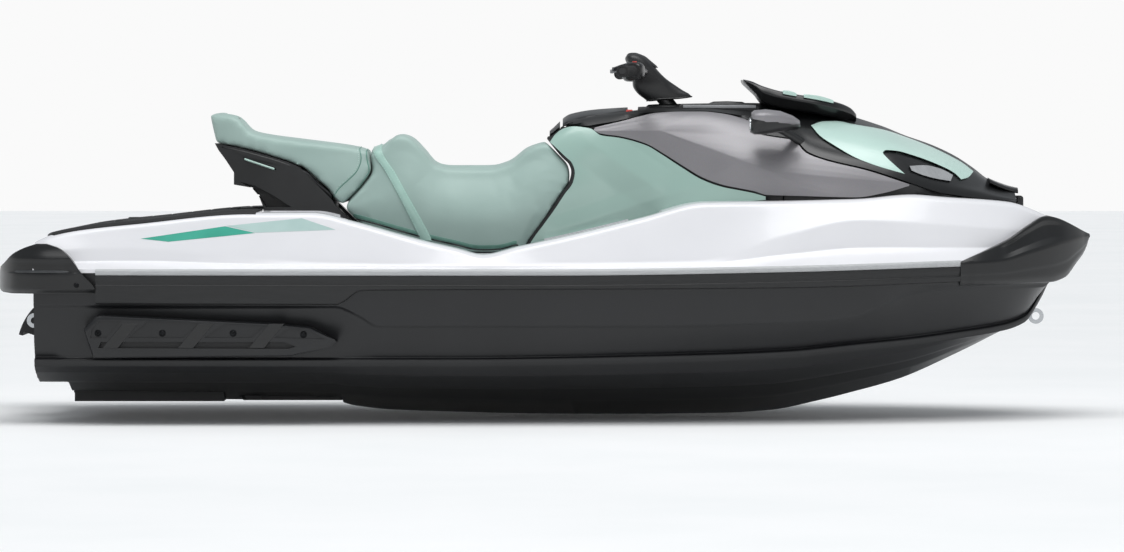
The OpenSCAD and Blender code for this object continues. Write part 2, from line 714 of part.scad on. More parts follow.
// A flat ring with a straight bore across the boat
module ring_plate(d) {
    rotate([90, 0, 0]) difference() {
        cylinder(d = d + 2 * eye_rod, h = eye_rod, center = true, $fn = round_fn);
        cylinder(d = d, h = eye_rod + 2, center = true, $fn = round_fn);
    }
}
stern_eye_y = 300;
stern_eye_z = 300;
module stern_eyes() {
    color("#c8cacc") afloat() both_sides() translate([transom_x, stern_eye_y, stern_eye_z]) {
        translate([-stern_eye_d / 2 - eye_rod, 0, 0]) ring_plate(stern_eye_d);
        translate([-4, 0, 0]) rotate([0, 90, 0]) cylinder(d = eye_rod, h = 33, $fn = round_fn);
    }
}
module tow_eye() {
    color("#c8cacc") afloat() translate([transom_x, 0, 410]) {
        translate([-8, -35, -22]) cube([8, 70, 44]);
        translate([-stern_eye_d / 2 - eye_rod - 4, 0, 0]) rotate([90, 0, 0]) ring_plate(stern_eye_d);
    }
}
plug_d = 32;
module drain_plugs() {
    color("#1d1e20") afloat() both_sides() translate([transom_x, 330, 150]) rotate([0, 90, 0]) {
        cylinder(d = plug_d, h = 40, $fn = round_fn);
        translate([0, 0, -10]) cylinder(d = plug_d + 14, h = 10, $fn = 6);
    }
}

// ---- Jet pump ----
housing_end = -1330;
stator_front = -1215;
venturi_end = -1440;
venturi_neck = 40;
nozzle_end = -1575;
steer_x = -1450;
bucket_z = pump_z + 13;
module along_x(x) {
    translate([x, 0, pump_z]) rotate([0, 90, 0]) children();
}
plate_z = 46;
module ride_plate() {
    color("#3a3c3f") afloat() {
        translate([notch_x, -tunnel_w / 2, plate_z + 28]) cube([pump_front - notch_x, tunnel_w, 14]);
        translate([notch_x, -tunnel_w / 2 + 24, plate_z]) cube([pump_front - notch_x, tunnel_w - 48, 29]);
    }
}
module intake_grate() {
    color("#4a4c50") afloat() intersection() {
        union() {
            for (y = [-50:25:50]) translate([-990, y - 4, 46]) cube([370, 8, 22]);
            translate([-990, -duct_hw, 50]) cube([100, 2 * duct_hw, 14]);
        }
        duct_space();
    }
}
module pump_housing() {
    color("#8d9094") afloat() difference() {
        union() {
            along_x(housing_end) cylinder(d = pump_bore + 2 * pump_wall, h = pump_front - housing_end, $fn = round_fn);
            along_x(pump_front - 14) cylinder(d = pump_bore + 2 * pump_wall + 20, h = 14, $fn = round_fn);
        }
        along_x(housing_end - 1) cylinder(d = pump_bore, h = pump_front - housing_end + 2, $fn = round_fn);
    }
}
hub_r = 30;
module pump_stator() {
    color("#a4a7ab") afloat() difference() {
        union() {
            along_x(housing_end) cylinder(r = hub_r, h = stator_front - housing_end, $fn = round_fn);
            intersection() {
                along_x(housing_end) cylinder(d = pump_bore, h = stator_front - housing_end, $fn = round_fn);
                for (i = [0:5]) translate([0, 0, pump_z]) rotate([60 * i, 0, 0])
                    translate([housing_end, -2.5, hub_r - 4]) cube([stator_front - housing_end, 5, 70]);
            }
        }
        along_x(stator_front - 45) cylinder(r = shaft_d / 2 + fit, h = 50, $fn = round_fn);
    }
}
lug_in = 84;
lug_out = 94;
module venturi() {
    color("#97999d") afloat() difference() {
        union() {
            along_x(venturi_end) cylinder(r = 50, h = venturi_neck, $fn = round_fn);
            along_x(venturi_end + venturi_neck)
                cylinder(r1 = 50, r2 = pump_bore / 2 + 10, h = housing_end - venturi_end - venturi_neck, $fn = round_fn);
            along_x(housing_end - 12) cylinder(d = pump_bore + 2 * pump_wall + 16, h = 12, $fn = round_fn);
            for (s = [-1, 1]) {
                translate([steer_x - 16, -16, pump_z + (s > 0 ? lug_in : -lug_out)]) cube([housing_end - steer_x + 10, 32, 10]);
                translate([steer_x - 16, s > 0 ? lug_in : -lug_out, bucket_z - 16]) cube([housing_end - steer_x + 10, 10, 32]);
            }
            translate([steer_x, 0, bucket_z]) rotate([90, 0, 0])
                cylinder(r = 8, h = 2 * pin_reach, center = true, $fn = round_fn);
        }
        translate([steer_x - 30, -lug_in, pump_z - lug_in]) cube([venturi_end - steer_x + 29, 2 * lug_in, 2 * lug_in]);
        along_x(venturi_end - 1) cylinder(r = 44, h = venturi_neck + 2, $fn = round_fn);
        along_x(venturi_end + venturi_neck)
            cylinder(r1 = 44, r2 = pump_bore / 2, h = housing_end - venturi_end - venturi_neck + 1, $fn = round_fn);
        translate([steer_x, 0, pump_z]) cylinder(r = 7 + fit, h = 240, center = true, $fn = round_fn);
    }
}
pin_reach = 112;
module nozzle() {
    color("#6f7276") afloat() difference() {
        union() {
            along_x(nozzle_end) cylinder(r1 = 52, r2 = 76, h = 137, $fn = round_fn);
            translate([steer_x, 0, pump_z]) cylinder(r = 7, h = 2 * lug_out, center = true, $fn = round_fn);
        }
        along_x(nozzle_end - 1) cylinder(r1 = 44, r2 = 68, h = 139, $fn = round_fn);
    }
}
arm_in = 98;
module bucket_sector(r0, r1, a0, a1) {
    intersection() {
        difference() {
            circle(r = r1, $fn = 96);
            circle(r = r0, $fn = 96);
        }
        polygon([[0, 0], for (a = [a0:(a1 - a0) / 4:a1]) [-1.3 * r1 * cos(a), 1.3 * r1 * sin(a)]]);
    }
}
module reverse_bucket() {
    color("#3b3d40") afloat() translate([steer_x, 0, bucket_z]) difference() {
        union() {
            rotate([90, 0, 0]) linear_extrude(2 * (arm_in + 10), center = true)
                bucket_sector(bucket_r, bucket_r + bucket_wall, 14, 58);
            both_sides() translate([0, arm_in + 10, 0]) rotate([90, 0, 0]) linear_extrude(10) {
                circle(r = 22, $fn = round_fn);
                difference() {
                    bucket_sector(8, bucket_r + bucket_wall, 18, 54);
                    circle(r = 16, $fn = round_fn);
                }
            }
        }
        rotate([90, 0, 0]) cylinder(r = 8 + fit, h = 300, center = true, $fn = round_fn);
    }
}
imp_front = -1060;
imp_aft = -1200;
module impeller() {
    color("#c2c5c8") afloat() difference() {
        union() {
            along_x(imp_aft) cylinder(r1 = hub_r, r2 = 20, h = imp_front - imp_aft, $fn = round_fn);
            intersection() {
                along_x(imp_aft) cylinder(r = pump_bore / 2 - tip_gap, h = imp_front - imp_aft, $fn = round_fn);
                for (i = [0:3]) translate([0, 0, pump_z]) rotate([90 * i, 0, 0])
                    translate([0.5 * (imp_aft + imp_front), 0, 0]) rotate([0, 0, 35])
                        translate([-90, -3, 14]) cube([180, 6, 70]);
            }
        }
        along_x(imp_aft - 1) cylinder(d = shaft_d, h = imp_front - imp_aft + 2, $fn = round_fn);
    }
}
shaft_fore = -484;
module drive_shaft() {
    color("#b5b8bb") afloat() along_x(stator_front - 30)
        cylinder(d = shaft_d, h = shaft_fore - stator_front + 30, $fn = round_fn);
}
module engine() {
    color("#5c5e61") afloat() translate([-483.7, -140, bay_z]) cube([560, 280, 340]);
}

// ---- Steering ----
column_foot = [372, 0, 940];
column_tilt = 38;
column_seat = 60;
column_h = 120;
bar_drop = 12;
bar_back = 70;
function along_column(h) = [column_foot[0] - h * sin(column_tilt), 0, column_foot[2] + h * cos(column_tilt)];
clamp_at = along_column(column_h + 22);
module column() {
    color("#2a2b2d") afloat() difference() {
        union() {
            translate(column_foot) rotate([0, -column_tilt, 0]) translate([0, 0, -column_seat + 1])
                cylinder(d = column_d, h = column_seat + column_h, $fn = round_fn);
            translate(column_foot) rotate([0, -column_tilt, 0]) translate([-34, -40, column_h - 6])
                cube([68, 80, 42]);
        }
        bar_tube(fit);
    }
}
bar_bend = 130;
module bar_tube(clear) {
    translate(clamp_at) rotate([90, 0, 0]) cylinder(d = bar_d + 2 * clear, h = 2 * bar_bend, center = true, $fn = round_fn);
}
grip_len = 130;
sweep_len = bar_w / 2 - bar_bend;
module on_bar_end(side, from) {
    translate(clamp_at + [0, side * bar_bend, 0]) rotate([side * -90, 0, 0])
        rotate([0, -side * side * atan(bar_back / sweep_len), 0]) translate([0, 0, from]) children();
}
// The bar's swept ends are turned down a little to take the grips
end_d = bar_d - 2;
end_len = sqrt(sweep_len * sweep_len + bar_back * bar_back);
module handlebar() {
    color("#1f2022") afloat() {
        bar_tube(0);
        for (side = [-1, 1]) on_bar_end(side, -8) cylinder(d = end_d, h = end_len + 4, $fn = round_fn);
    }
}
module grips() {
    color("#1c1d1f") afloat() for (side = [-1, 1]) difference() {
        on_bar_end(side, end_len - grip_len) union() {
            cylinder(d = grip_d, h = grip_len, $fn = round_fn);
            translate([0, 0, 0]) cylinder(d = grip_d + 16, h = 5, $fn = round_fn);
        }
        on_bar_end(side, end_len - grip_len - 1) cylinder(d = end_d, h = grip_len - 3, $fn = round_fn);
    }
}
module bar_cover() {
    color("#26272a") afloat() difference() {
        hull() {
            translate(clamp_at + [-36, 0, 46]) rotate([90, 0, 0]) cylinder(r = 16, h = 150, center = true, $fn = 32);
            translate(clamp_at + [14, 0, 26]) rotate([90, 0, 0]) cylinder(r = 14, h = 150, center = true, $fn = 32);
            translate(clamp_at + [-40, 0, 6]) rotate([90, 0, 0]) cylinder(r = 12, h = 120, center = true, $fn = 32);
            translate(clamp_at + [56, 0, 0]) rotate([90, 0, 0]) cylinder(r = 12, h = 120, center = true, $fn = 32);
        }
        bar_tube(fit);
        translate(column_foot) rotate([0, -column_tilt, 0]) translate([-34.1, -40.1, -column_seat])
            cube([68.2, 80.2, column_seat + column_h + 36.1]);
    }
}
module switch_pods() {
    color("#222326") afloat() for (side = [-1, 1]) difference() {
        on_bar_end(side, end_len - grip_len - 60) union() {
            cylinder(d = bar_d + 26, h = 54, $fn = round_fn);
            translate([-30, -bar_d / 2 - 12, 8]) cube([30, bar_d + 24, 38]);
        }
        on_bar_end(side, 0) cylinder(d = end_d, h = end_len, $fn = round_fn);
    }
}
module levers() {
    color("#2f3033") afloat() for (side = [-1, 1]) on_bar_end(side, end_len - grip_len - 36) {
        rotate([0, -14, 0]) translate([-52, -5, 0]) cube([10, 10, 120]);
        translate([-56, -6, 0]) cube([26, 12, 14]);
    }
}

lower_hull();
deck();
rub_rails();
rail_strips();
bow_bumper();
stern_bumpers();
rear_mat();
footwell_mats();
accessory_anchors();
seat_pedestal();
side_covers();
console_panels();
console();
gauge();
mirrors();
storage_bin();
sponsons();
bow_eye();
stern_eyes();
tow_eye();
ride_plate();
intake_grate();
pump_housing();
pump_stator();
venturi();
engine();
drain_plugs();
column();
handlebar();
grips();
bar_cover();
switch_pods();
levers();
nozzle();
reverse_bucket();
impeller();
drive_shaft();
hood();
hood_panel();
hood_vents();
deflector();
glovebox_lid();
driver_seat();
passenger_seat();
seat_strap();
tail_grip();
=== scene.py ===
# Personal watercraft, built up from the keel: hull and deck, rails and bumpers, the panels
# over the deck, the saddle, the steering and the jet drive.
import math
import bmesh
import bpy
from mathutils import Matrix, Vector


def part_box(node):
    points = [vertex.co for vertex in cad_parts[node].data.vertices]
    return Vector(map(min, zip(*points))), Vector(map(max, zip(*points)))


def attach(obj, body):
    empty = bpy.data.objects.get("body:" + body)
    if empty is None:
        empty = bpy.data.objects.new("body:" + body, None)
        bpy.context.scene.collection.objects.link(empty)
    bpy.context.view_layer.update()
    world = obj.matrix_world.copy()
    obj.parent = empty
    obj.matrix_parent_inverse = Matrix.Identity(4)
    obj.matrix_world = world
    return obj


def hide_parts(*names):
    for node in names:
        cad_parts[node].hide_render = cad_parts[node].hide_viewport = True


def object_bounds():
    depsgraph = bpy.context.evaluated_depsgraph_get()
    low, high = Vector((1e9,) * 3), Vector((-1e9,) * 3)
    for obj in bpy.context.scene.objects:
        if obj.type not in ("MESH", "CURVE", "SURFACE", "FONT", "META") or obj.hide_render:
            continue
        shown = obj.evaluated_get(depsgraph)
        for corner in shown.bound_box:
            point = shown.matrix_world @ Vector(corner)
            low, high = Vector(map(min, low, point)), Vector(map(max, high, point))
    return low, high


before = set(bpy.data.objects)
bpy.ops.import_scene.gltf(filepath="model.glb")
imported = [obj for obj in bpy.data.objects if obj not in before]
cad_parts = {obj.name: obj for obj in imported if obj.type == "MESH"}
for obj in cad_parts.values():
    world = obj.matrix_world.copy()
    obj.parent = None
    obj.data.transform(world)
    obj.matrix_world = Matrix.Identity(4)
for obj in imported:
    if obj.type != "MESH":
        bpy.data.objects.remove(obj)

cad_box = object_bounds()

# ---- Studio ----
# The craft stands just over a pale studio floor and is looked at from its starboard side
# with a long lens, under soft lamps as broad as the craft is long.
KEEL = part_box("lower_hull")[0][2]
HALF_BEAM = 1000 * (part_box("rail_strips")[1][1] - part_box("rail_strips")[0][1]) / 2 - 1
NOSE = 1000 * cad_box[1][0]


def at(x, y, h):
    """A point in metres from millimetres: x ahead of the origin, y to port, h above the keel."""
    return Vector((x / 1000, y / 1000, KEEL + h / 1000))


def linear(code):
    """An sRGB hex colour as linear red, green, blue and alpha."""
    parts = [int(code[i:i + 2], 16) / 255 for i in (1, 3, 5)]
    return [p / 12.92 if p <= 0.04045 else ((p + 0.055) / 1.055) ** 2.4 for p in parts] + [1.0]


def add(tree, kind, inputs={}, stops=(), **settings):
    """Adds a node with its settings and ramp stops; an input is a value, a hex colour, a node or a socket."""
    made = tree.nodes.new(kind)
    for (where, code), stop in zip(stops, made.color_ramp.elements if stops else ()):
        stop.position, stop.color = where, linear(code)
    for name, value in settings.items():
        setattr(made, name, value)
    for key, value in inputs.items():
        if isinstance(value, bpy.types.Node):
            value = value.outputs[0]
        if isinstance(value, bpy.types.NodeSocket):
            tree.links.new(value, made.inputs[key])
        else:
            made.inputs[key].default_value = linear(value) if isinstance(value, str) else value
    return made


def material(name, **values):
    """A material, with its shader's constants by name; returns it, its tree and its object coordinates."""
    mat = bpy.data.materials.new(name)
    mat.use_nodes = True
    tree = mat.node_tree
    for key, value in values.items():
        socket = tree.nodes["Principled BSDF"].inputs[key.replace("_", " ")]
        socket.default_value = linear(value) if isinstance(value, str) else value
    return mat, tree, add(tree, "ShaderNodeTexCoord").outputs["Object"]


def feed(tree, **sources):
    """Links nodes or sockets to the shader's inputs by name."""
    for key, source in sources.items():
        socket = source.outputs[0] if isinstance(source, bpy.types.Node) else source
        tree.links.new(socket, tree.nodes["Principled BSDF"].inputs[key.replace("_", " ")])


def mottled(tree, where, dark, pale, scale, detail=2.0, gloss=()):
    """Lets the colour drift between two tints, as moulded and painted faces do, and the roughness with it."""
    drift = add(tree, "ShaderNodeTexNoise", {"Vector": where, "Scale": scale, "Detail": detail})
    feed(tree, Base_Color=add(tree, "ShaderNodeValToRGB", {"Fac": drift}, stops=((0.3, dark), (0.7, pale))))
    if gloss:
        feed(tree, Roughness=add(tree, "ShaderNodeMapRange", {"Value": drift, "To Min": gloss[0],
                                                              "To Max": gloss[1]}))
    return drift


# Painted plywood floor: pale and matt, faintly mottled by the roller.
floor_paint, tree, where = material("rolled_floor_paint", Roughness=0.7)
mottled(tree, where, "#F6F7F7", "#FBFBFB", 1.3, 3.0)
bpy.ops.mesh.primitive_plane_add(size=80, location=(0, 0, KEEL - 0.004))
floor = bpy.context.object
floor.name = "studio_floor"
floor.data.materials.append(floor_paint)

# A white wall goes all round at eye level, with a greyer ceiling over it, so that dark and
# pale sides both keep their shape.
world = bpy.data.worlds.new("studio")
bpy.context.scene.world = world
world.use_nodes = True
direction = add(world.node_tree, "ShaderNodeTexCoord").outputs["Generated"]
height = add(world.node_tree, "ShaderNodeSeparateXYZ", {"Vector": direction}).outputs["Z"]
ceiling = add(world.node_tree, "ShaderNodeValToRGB", {"Fac": height},
              stops=((0.10, "#FAFAFA"), (0.30, "#A4A8AC")))
world.node_tree.links.new(ceiling.outputs["Color"], world.node_tree.nodes["Background"].inputs["Color"])
world.node_tree.nodes["Background"].inputs["Strength"].default_value = 1.0


def lamp(name, kind, spot, aim, power, **settings):
    """A soft lamp at spot, turned to face aim."""
    data = bpy.data.lights.new(name, kind)
    data.energy = power
    for key, value in settings.items():
        setattr(data, key, value)
    lit = bpy.data.objects.new(name, data)
    bpy.context.collection.objects.link(lit)
    lit.location = spot
    lit.rotation_euler = (Vector(aim) - Vector(spot)).to_track_quat("-Z", "Y").to_euler()


lamp("skylight", "SUN", (0.3, -1.3, 5.0), (0, 0, 0), 1.75, angle=math.radians(55))
lamp("overhead_softbox", "AREA", (0.2, -0.9, 3.6), (0.1, 0, 0.3), 26, shape="RECTANGLE", size=4.0, size_y=0.9)
lamp("front_softbox", "AREA", (0.6, -6.5, 1.6), (0.2, 0, 0.3), 16, shape="RECTANGLE", size=5.0, size_y=0.5)

FRAME_WIDTH = 3.462                          # metres of width that the frame takes in
LENS, SENSOR = 170.0, 36.0
ELEVATION = math.radians(1.6)
look_at = Vector((0.034, 0, KEEL + 0.425))
distance = FRAME_WIDTH * LENS / SENSOR
camera_data = bpy.data.cameras.new("catalogue_camera")
camera_data.lens, camera_data.sensor_width = LENS, SENSOR
camera = bpy.data.objects.new("catalogue_camera", camera_data)
bpy.context.collection.objects.link(camera)
camera.location = look_at + Vector((0, -math.cos(ELEVATION), math.sin(ELEVATION))) * distance
camera.rotation_euler = (look_at - camera.location).to_track_quat("-Z", "Y").to_euler()
bpy.context.scene.camera = camera
bpy.context.scene.view_settings.view_transform = "Standard"

# ---- Lower hull ----
# A V hull moulded in long-fibre polypropylene: keel, lifting strakes, a hard chine and a
# side with one stepped line. It closes with the deck at the rub rail.
CHINE_HALF = 535
WIDEST = -300
RAIL_T = 24


def fair(points):
    """A fair curve through (x, value) points: each stretch is a cubic that doesn't overshoot."""
    xs = [p[0] for p in points]
    ys = [p[1] for p in points]
    steps = [(ys[i + 1] - ys[i]) / (xs[i + 1] - xs[i]) for i in range(len(xs) - 1)]
    slopes = [steps[0]]
    for left, right in zip(steps, steps[1:]):
        slopes.append(0 if left * right <= 0 else 2 * left * right / (left + right))
    slopes.append(steps[-1])

    def value(x):
        if x <= xs[0]:
            return ys[0]
        if x >= xs[-1]:
            return ys[-1]
        i = max(k for k in range(len(xs) - 1) if xs[k] <= x)
        w = xs[i + 1] - xs[i]
        t = (x - xs[i]) / w
        return (ys[i] * (1 + 2 * t) * (1 - t) ** 2 + ys[i + 1] * t * t * (3 - 2 * t)
                + w * slopes[i] * t * (1 - t) ** 2 + w * slopes[i + 1] * t * t * (t - 1))
    return value


def fade(x, start, end):
    """Goes smoothly from 0 at start to 1 at end."""
    t = min(1, max(0, (x - start) / (end - start)))
    return t * t * (3 - 2 * t)


def swell(x, nose, power, root):
    ahead = max(0.0, x - WIDEST) / (nose - WIDEST)
    return max(0.0004, 1 - ahead ** power) ** root


def stern_taper(x):
    return 1 - 0.09 * (max(0, WIDEST - x) / 1300) ** 2


def rail_y(x):
    return HALF_BEAM * stern_taper(x) * swell(x, NOSE + 6, 3.0, 0.6)


def chine_y(x):
    return CHINE_HALF * (1 - 0.35 * (1 - stern_taper(x))) * swell(x, 1545, 2.3, 0.72)


keel_h = fair([(-1540, 50), (-660, 40), (-610, 27), (-465, 12), (150, 0), (520, 3), (675, 12), (829, 43),
               (921, 66), (1075, 110), (1229, 178), (1383, 255), (1450, 292), (1500, 360), (1532, 418)])
chine_line = fair([(-1540, 185), (-300, 185), (400, 196), (705, 206), (921, 225), (1075, 238), (1229, 256),
                   (1383, 277), (1450, 300), (1500, 366), (1532, 424)])
accent_line = fair([(-1540, 352), (-640, 352), (-573, 326), (-510, 293), (305, 293), (613, 299), (760, 303),
                    (890, 313), (983, 345), (1075, 386), (1150, 396), (1400, 402), (1500, 404), (1532, 430)])
seam_h = fair([(-1540, 450), (0, 450), (705, 459), (1192, 471), (1532, 478)])


def rounded(outline, steps=4):
    """(y, h, radius) corners as (y, h) points, with each corner that has a radius turned into an arc."""
    out = []
    for i, (y, h, radius) in enumerate(outline):
        if i in (0, len(outline) - 1) or radius == 0:
            out.append((y, h))
            continue
        corner = Vector((y, h))
        before, after = Vector(outline[i - 1][:2]) - corner, Vector(outline[i + 1][:2]) - corner
        start = corner + before.normalized() * min(radius, 0.45 * before.length)
        end = corner + after.normalized() * min(radius, 0.45 * after.length)
        for k in range(steps + 1):
            t = k / steps
            spot = start * (1 - t) ** 2 + corner * 2 * t * (1 - t) + end * t * t
            out.append((spot.x, spot.y))
    return out


def spread(start, end, step):
    """Even stations from start to end, about step apart."""
    count = max(1, round(abs(end - start) / step))
    return [start + (end - start) * i / count for i in range(count + 1)]


def grid(rows, loop=False):
    """Vertices and quads through rows of points; loop joins each row's end to its start."""
    wide = len(rows[0])
    faces = []
    for i in range(len(rows) - 1):
        for j in range(wide if loop else wide - 1):
            k = (j + 1) % wide
            faces.append((i * wide + j, i * wide + k, (i + 1) * wide + k, (i + 1) * wide + j))
    return [p for row in rows for p in row], faces


def capped(rows):
    """A closed body through rows that are loops, with a flat face at each end."""
    verts, faces = grid(rows, loop=True)
    wide, last = len(rows[0]), (len(rows) - 1) * len(rows[0])
    return verts, faces + [tuple(reversed(range(wide))), tuple(last + j for j in range(wide))]


def both_halves(half, x):
    """A closed frame at x from half an outline that runs from bottom centre to top centre."""
    return [at(x, y, h) for y, h in half] + [at(x, -y, h) for y, h in reversed(half[1:-1])]


def joined(*parts):
    """Several (vertices, faces) as one."""
    verts, faces = [], []
    for more_verts, more_faces in parts:
        base = len(verts)
        verts += more_verts
        faces += [tuple(base + i for i in f) for f in more_faces]
    return verts, faces


def mirrored(part):
    """The same part on the other side of the boat."""
    return [Vector((v.x, -v.y, v.z)) for v in part[0]], [tuple(reversed(f)) for f in part[1]]


def mesh_of(name, part):
    """A mesh from (vertices, faces), with doubled points joined and every face turned outwards."""
    mesh = bpy.data.meshes.new(name)
    mesh.from_pydata([tuple(v) for v in part[0]], [], part[1])
    work = bmesh.new()
    work.from_mesh(mesh)
    bmesh.ops.remove_doubles(work, verts=work.verts, dist=0.00002)
    bmesh.ops.recalc_face_normals(work, faces=work.faces)
    work.to_mesh(mesh)
    work.free()
    return mesh


def piece(name, part, finish, body, nodes=(), bevel=0.0, smooth=35, segments=3):
    """Makes an object of part, with its edges rounded, that rides on a body and stands for CAD nodes."""
    made = bpy.data.objects.new(name, mesh_of(name, part))
    bpy.context.collection.objects.link(made)
    made.data.materials.append(finish)
    made.data.shade_smooth()
    made.data.set_sharp_from_angle(angle=math.radians(smooth))
    if bevel:
        edge = made.modifiers.new("rounded_edges", "BEVEL")
        edge.width, edge.segments = bevel / 1000, segments
        edge.limit_method, edge.angle_limit = "ANGLE", math.radians(smooth)
        edge.harden_normals = False
    if nodes:
        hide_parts(*nodes)
    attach(made, body)
    return made


def box_part(low, high):
    """A box between two corners given as (x, y, h) in millimetres."""
    (a, b, c), (d, e, f) = low, high
    loop = [(a, b), (d, b), (d, e), (a, e)]
    return capped([[at(x, y, c) for x, y in loop], [at(x, y, f) for x, y in loop]])


def cut(target, *parts, how="DIFFERENCE"):
    """Cuts closed parts out of an object for good, or welds them to it."""
    for part in parts:
        tool = bpy.data.objects.new("cutter", mesh_of("cutter", part))
        bpy.context.collection.objects.link(tool)
        boolean = target.modifiers.new("cut", "BOOLEAN")
        boolean.object, boolean.solver, boolean.operation = tool, "EXACT", how
        target.modifiers.move(len(target.modifiers) - 1, 0)
        with bpy.context.temp_override(object=target, active_object=target, selected_objects=[target]):
            bpy.ops.object.modifier_apply(modifier="cut")
        bpy.data.objects.remove(tool)
    target.data.shade_smooth()
    target.data.set_sharp_from_angle(angle=math.radians(32))


def hull_frame(x):
    k, cy = keel_h(x), chine_y(x)
    c = max(chine_line(x), k + 4)
    rise, side = c - k, rail_y(x) - RAIL_T
    accent = min(max(accent_line(x), c + 14), seam_h(x) - 34)
    lip = 8 * min(1, rise / 120) * min(1, cy / 200)
    step = 7 * min(1, cy / 200)
    along = cy + 0.78 * (side - cy)
    # the side is let in behind the sponson, where its screws go
    let_in = 5 * fade(x, -1400, -1370) * (1 - fade(x, -650, -610))
    aft = 1 - fade(x, -1480, -1450)

    def bottom(share, drop=0.0):
        return (share * cy, k + 0.80 * rise * share - drop)
    return rounded([
        (0, k, 0), bottom(0.36) + (0,), bottom(0.372, lip) + (2,), bottom(0.43, lip) + (5,),
        bottom(0.66) + (0,), bottom(0.672, lip) + (2,), bottom(0.73, lip) + (5,),
        bottom(0.93) + (5,), (cy - 1, c - 15, 4), (cy + 5, c - 3, 3), (cy + 5, c + 5, 3),
        (cy - 5 - 12 * aft, c + 11, 4),
        (cy + 0.35 * (along - cy) - let_in, c + 0.35 * (accent - c), 0), (along - step, accent - 7, 4),
        (along + 2, accent + 2, 4), (side - 3, seam_h(x) - 50, 20), (side, seam_h(x), 0), (0, seam_h(x), 0)])


# Moulded polypropylene: near black and satin, with the tool's cast-in grain, so that it
# takes broad soft reflections and no sharp ones.
hull_plastic, tree, where = material("moulded_polypropylene_black", IOR=1.49)
mottled(tree, where, "#121315", "#191A1C", 4.0, 4.0, (0.30, 0.42))
# the grain is 0.5 mm, drawn at 2 mm so that it shows
grain = add(tree, "ShaderNodeTexNoise", {"Vector": where, "Scale": 480.0, "Detail": 2.0})
feed(tree, Normal=add(tree, "ShaderNodeBump", {"Height": grain, "Strength": 0.10, "Distance": 0.0006}))

hull_stations = spread(-1540, 1380, 20) + spread(1380, 1530, 10)[1:]
hull = piece("hull_shell", capped([both_halves(hull_frame(x), x) for x in hull_stations]),
             hull_plastic, "craft", ["lower_hull"])

plate_low, plate_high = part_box("ride_plate")
TUNNEL_W = 1000 * (plate_high[1] - plate_low[1])
PUMP_FRONT, NOTCH_X = 1000 * plate_high[0], 1000 * plate_low[0]
TUNNEL_TOP = 330
tub_cut = [box_part((-905, min(s * 202, s * 444), 361), (368, max(s * 202, s * 444), 470)) for s in (1, -1)]
duct_cut = capped([[at(-640, y, h) for y, h in ((-74, -10), (74, -10), (74, 60), (-74, 60))],
                   [at(-900, y, h) for y, h in ((-74, -10), (74, -10), (74, 196), (-74, 196))],
                   [at(PUMP_FRONT - 5, y, h) for y, h in ((-70, 118), (70, 118), (70, 262), (-70, 262))]])
cut(hull, box_part((-1560, -TUNNEL_W / 2, -20), (PUMP_FRONT, TUNNEL_W / 2, TUNNEL_TOP)),
    box_part((-1560, -700, -20), (NOTCH_X, 700, 116)), duct_cut,
    box_part((-560, -165, 95), (140, 165, 470)), *tub_cut)

# ---- Deck ----
# A glossy white deck moulding: a narrow flat ledge over the rail, a folded side up to the
# gunwale, two footwells, and the raised middle that the saddle sits down into.
STRIP_H = 14
crease_h = fair([(-1540, 512), (-1235, 522), (-1000, 504), (-680, 480), (-400, 474), (430, 484), (705, 560),
                 (921, 604), (1150, 590), (1410, 572), (1525, 560)])
gunwale_h = fair([(-1540, 540), (-1490, 562), (-1400, 580), (-1235, 598), (-900, 628), (-711, 628),
                  (-588, 601), (-465, 567), (-373, 542), (-280, 521), (-203, 503), (-95, 527), (89, 567),
                  (274, 613), (459, 658), (705, 662), (921, 668), (1087, 680), (1192, 672), (1389, 656),
                  (1506, 616), (1525, 604)])
crease_in = fair([(-1540, 30), (-1235, 58), (-680, 60), (430, 60), (705, 74), (921, 95), (1150, 80),
                  (1410, 62), (1525, 42)])
gunwale_in = fair([(-1540, 60), (-1235, 86), (-900, 100), (-203, 84), (400, 100), (705, 130), (921, 150),
                   (1150, 130), (1410, 96), (1525, 66)])


def deck_side(x):
    """The deck's outer side at x, from the rail up to the gunwale."""
    y, s, g = rail_y(x), seam_h(x), gunwale_h(x)
    c = max(s + STRIP_H + 5, min(crease_h(x), g - 14))
    fold = y - crease_in(x)
    wall = y - gunwale_in(x)
    return [(y - 6, s, 0), (y - 6, s + STRIP_H - 2, 2), (fold + 8, s + STRIP_H + 0.34 * (c - s - STRIP_H), 5),
            (fold, c, 7), (0.4 * fold + 0.6 * wall, c + 0.62 * (g - 8 - c), 30), (wall + 2, g - 9, 8),
            (wall - 18, g, 12)]


def deck_frame(x):
    return rounded([(0, seam_h(x), 0)] + deck_side(x) + [(0.4 * rail_y(x), gunwale_h(x) + 1, 30),
                                                         (0, gunwale_h(x) + 2, 0)])


# Gelcoat: bright white under a clear coat, very smooth, with a trace of orange peel.
gelcoat, tree, where = material("gelcoat_white", Roughness=0.25, IOR=1.5, Coat_Weight=0.4,
                                Coat_Roughness=0.08)
mottled(tree, where, "#DEDEE1", "#E6E6E9", 2.2)
peel = add(tree, "ShaderNodeTexNoise", {"Vector": where, "Scale": 160.0, "Detail": 1.0})
feed(tree, Normal=add(tree, "ShaderNodeBump", {"Height": peel, "Strength": 0.03, "Distance": 0.0005}))

deck_stations = spread(-1540, 1380, 20) + spread(1380, 1522, 12)[1:]
deck = piece("deck_moulding", capped([both_halves(deck_frame(x), x) for x in deck_stations]),
             gelcoat, "craft", ["deck"])
WELL_IN, WELL_OUT, FLOOR_H, TUB_T = 216, 430, 375, 14


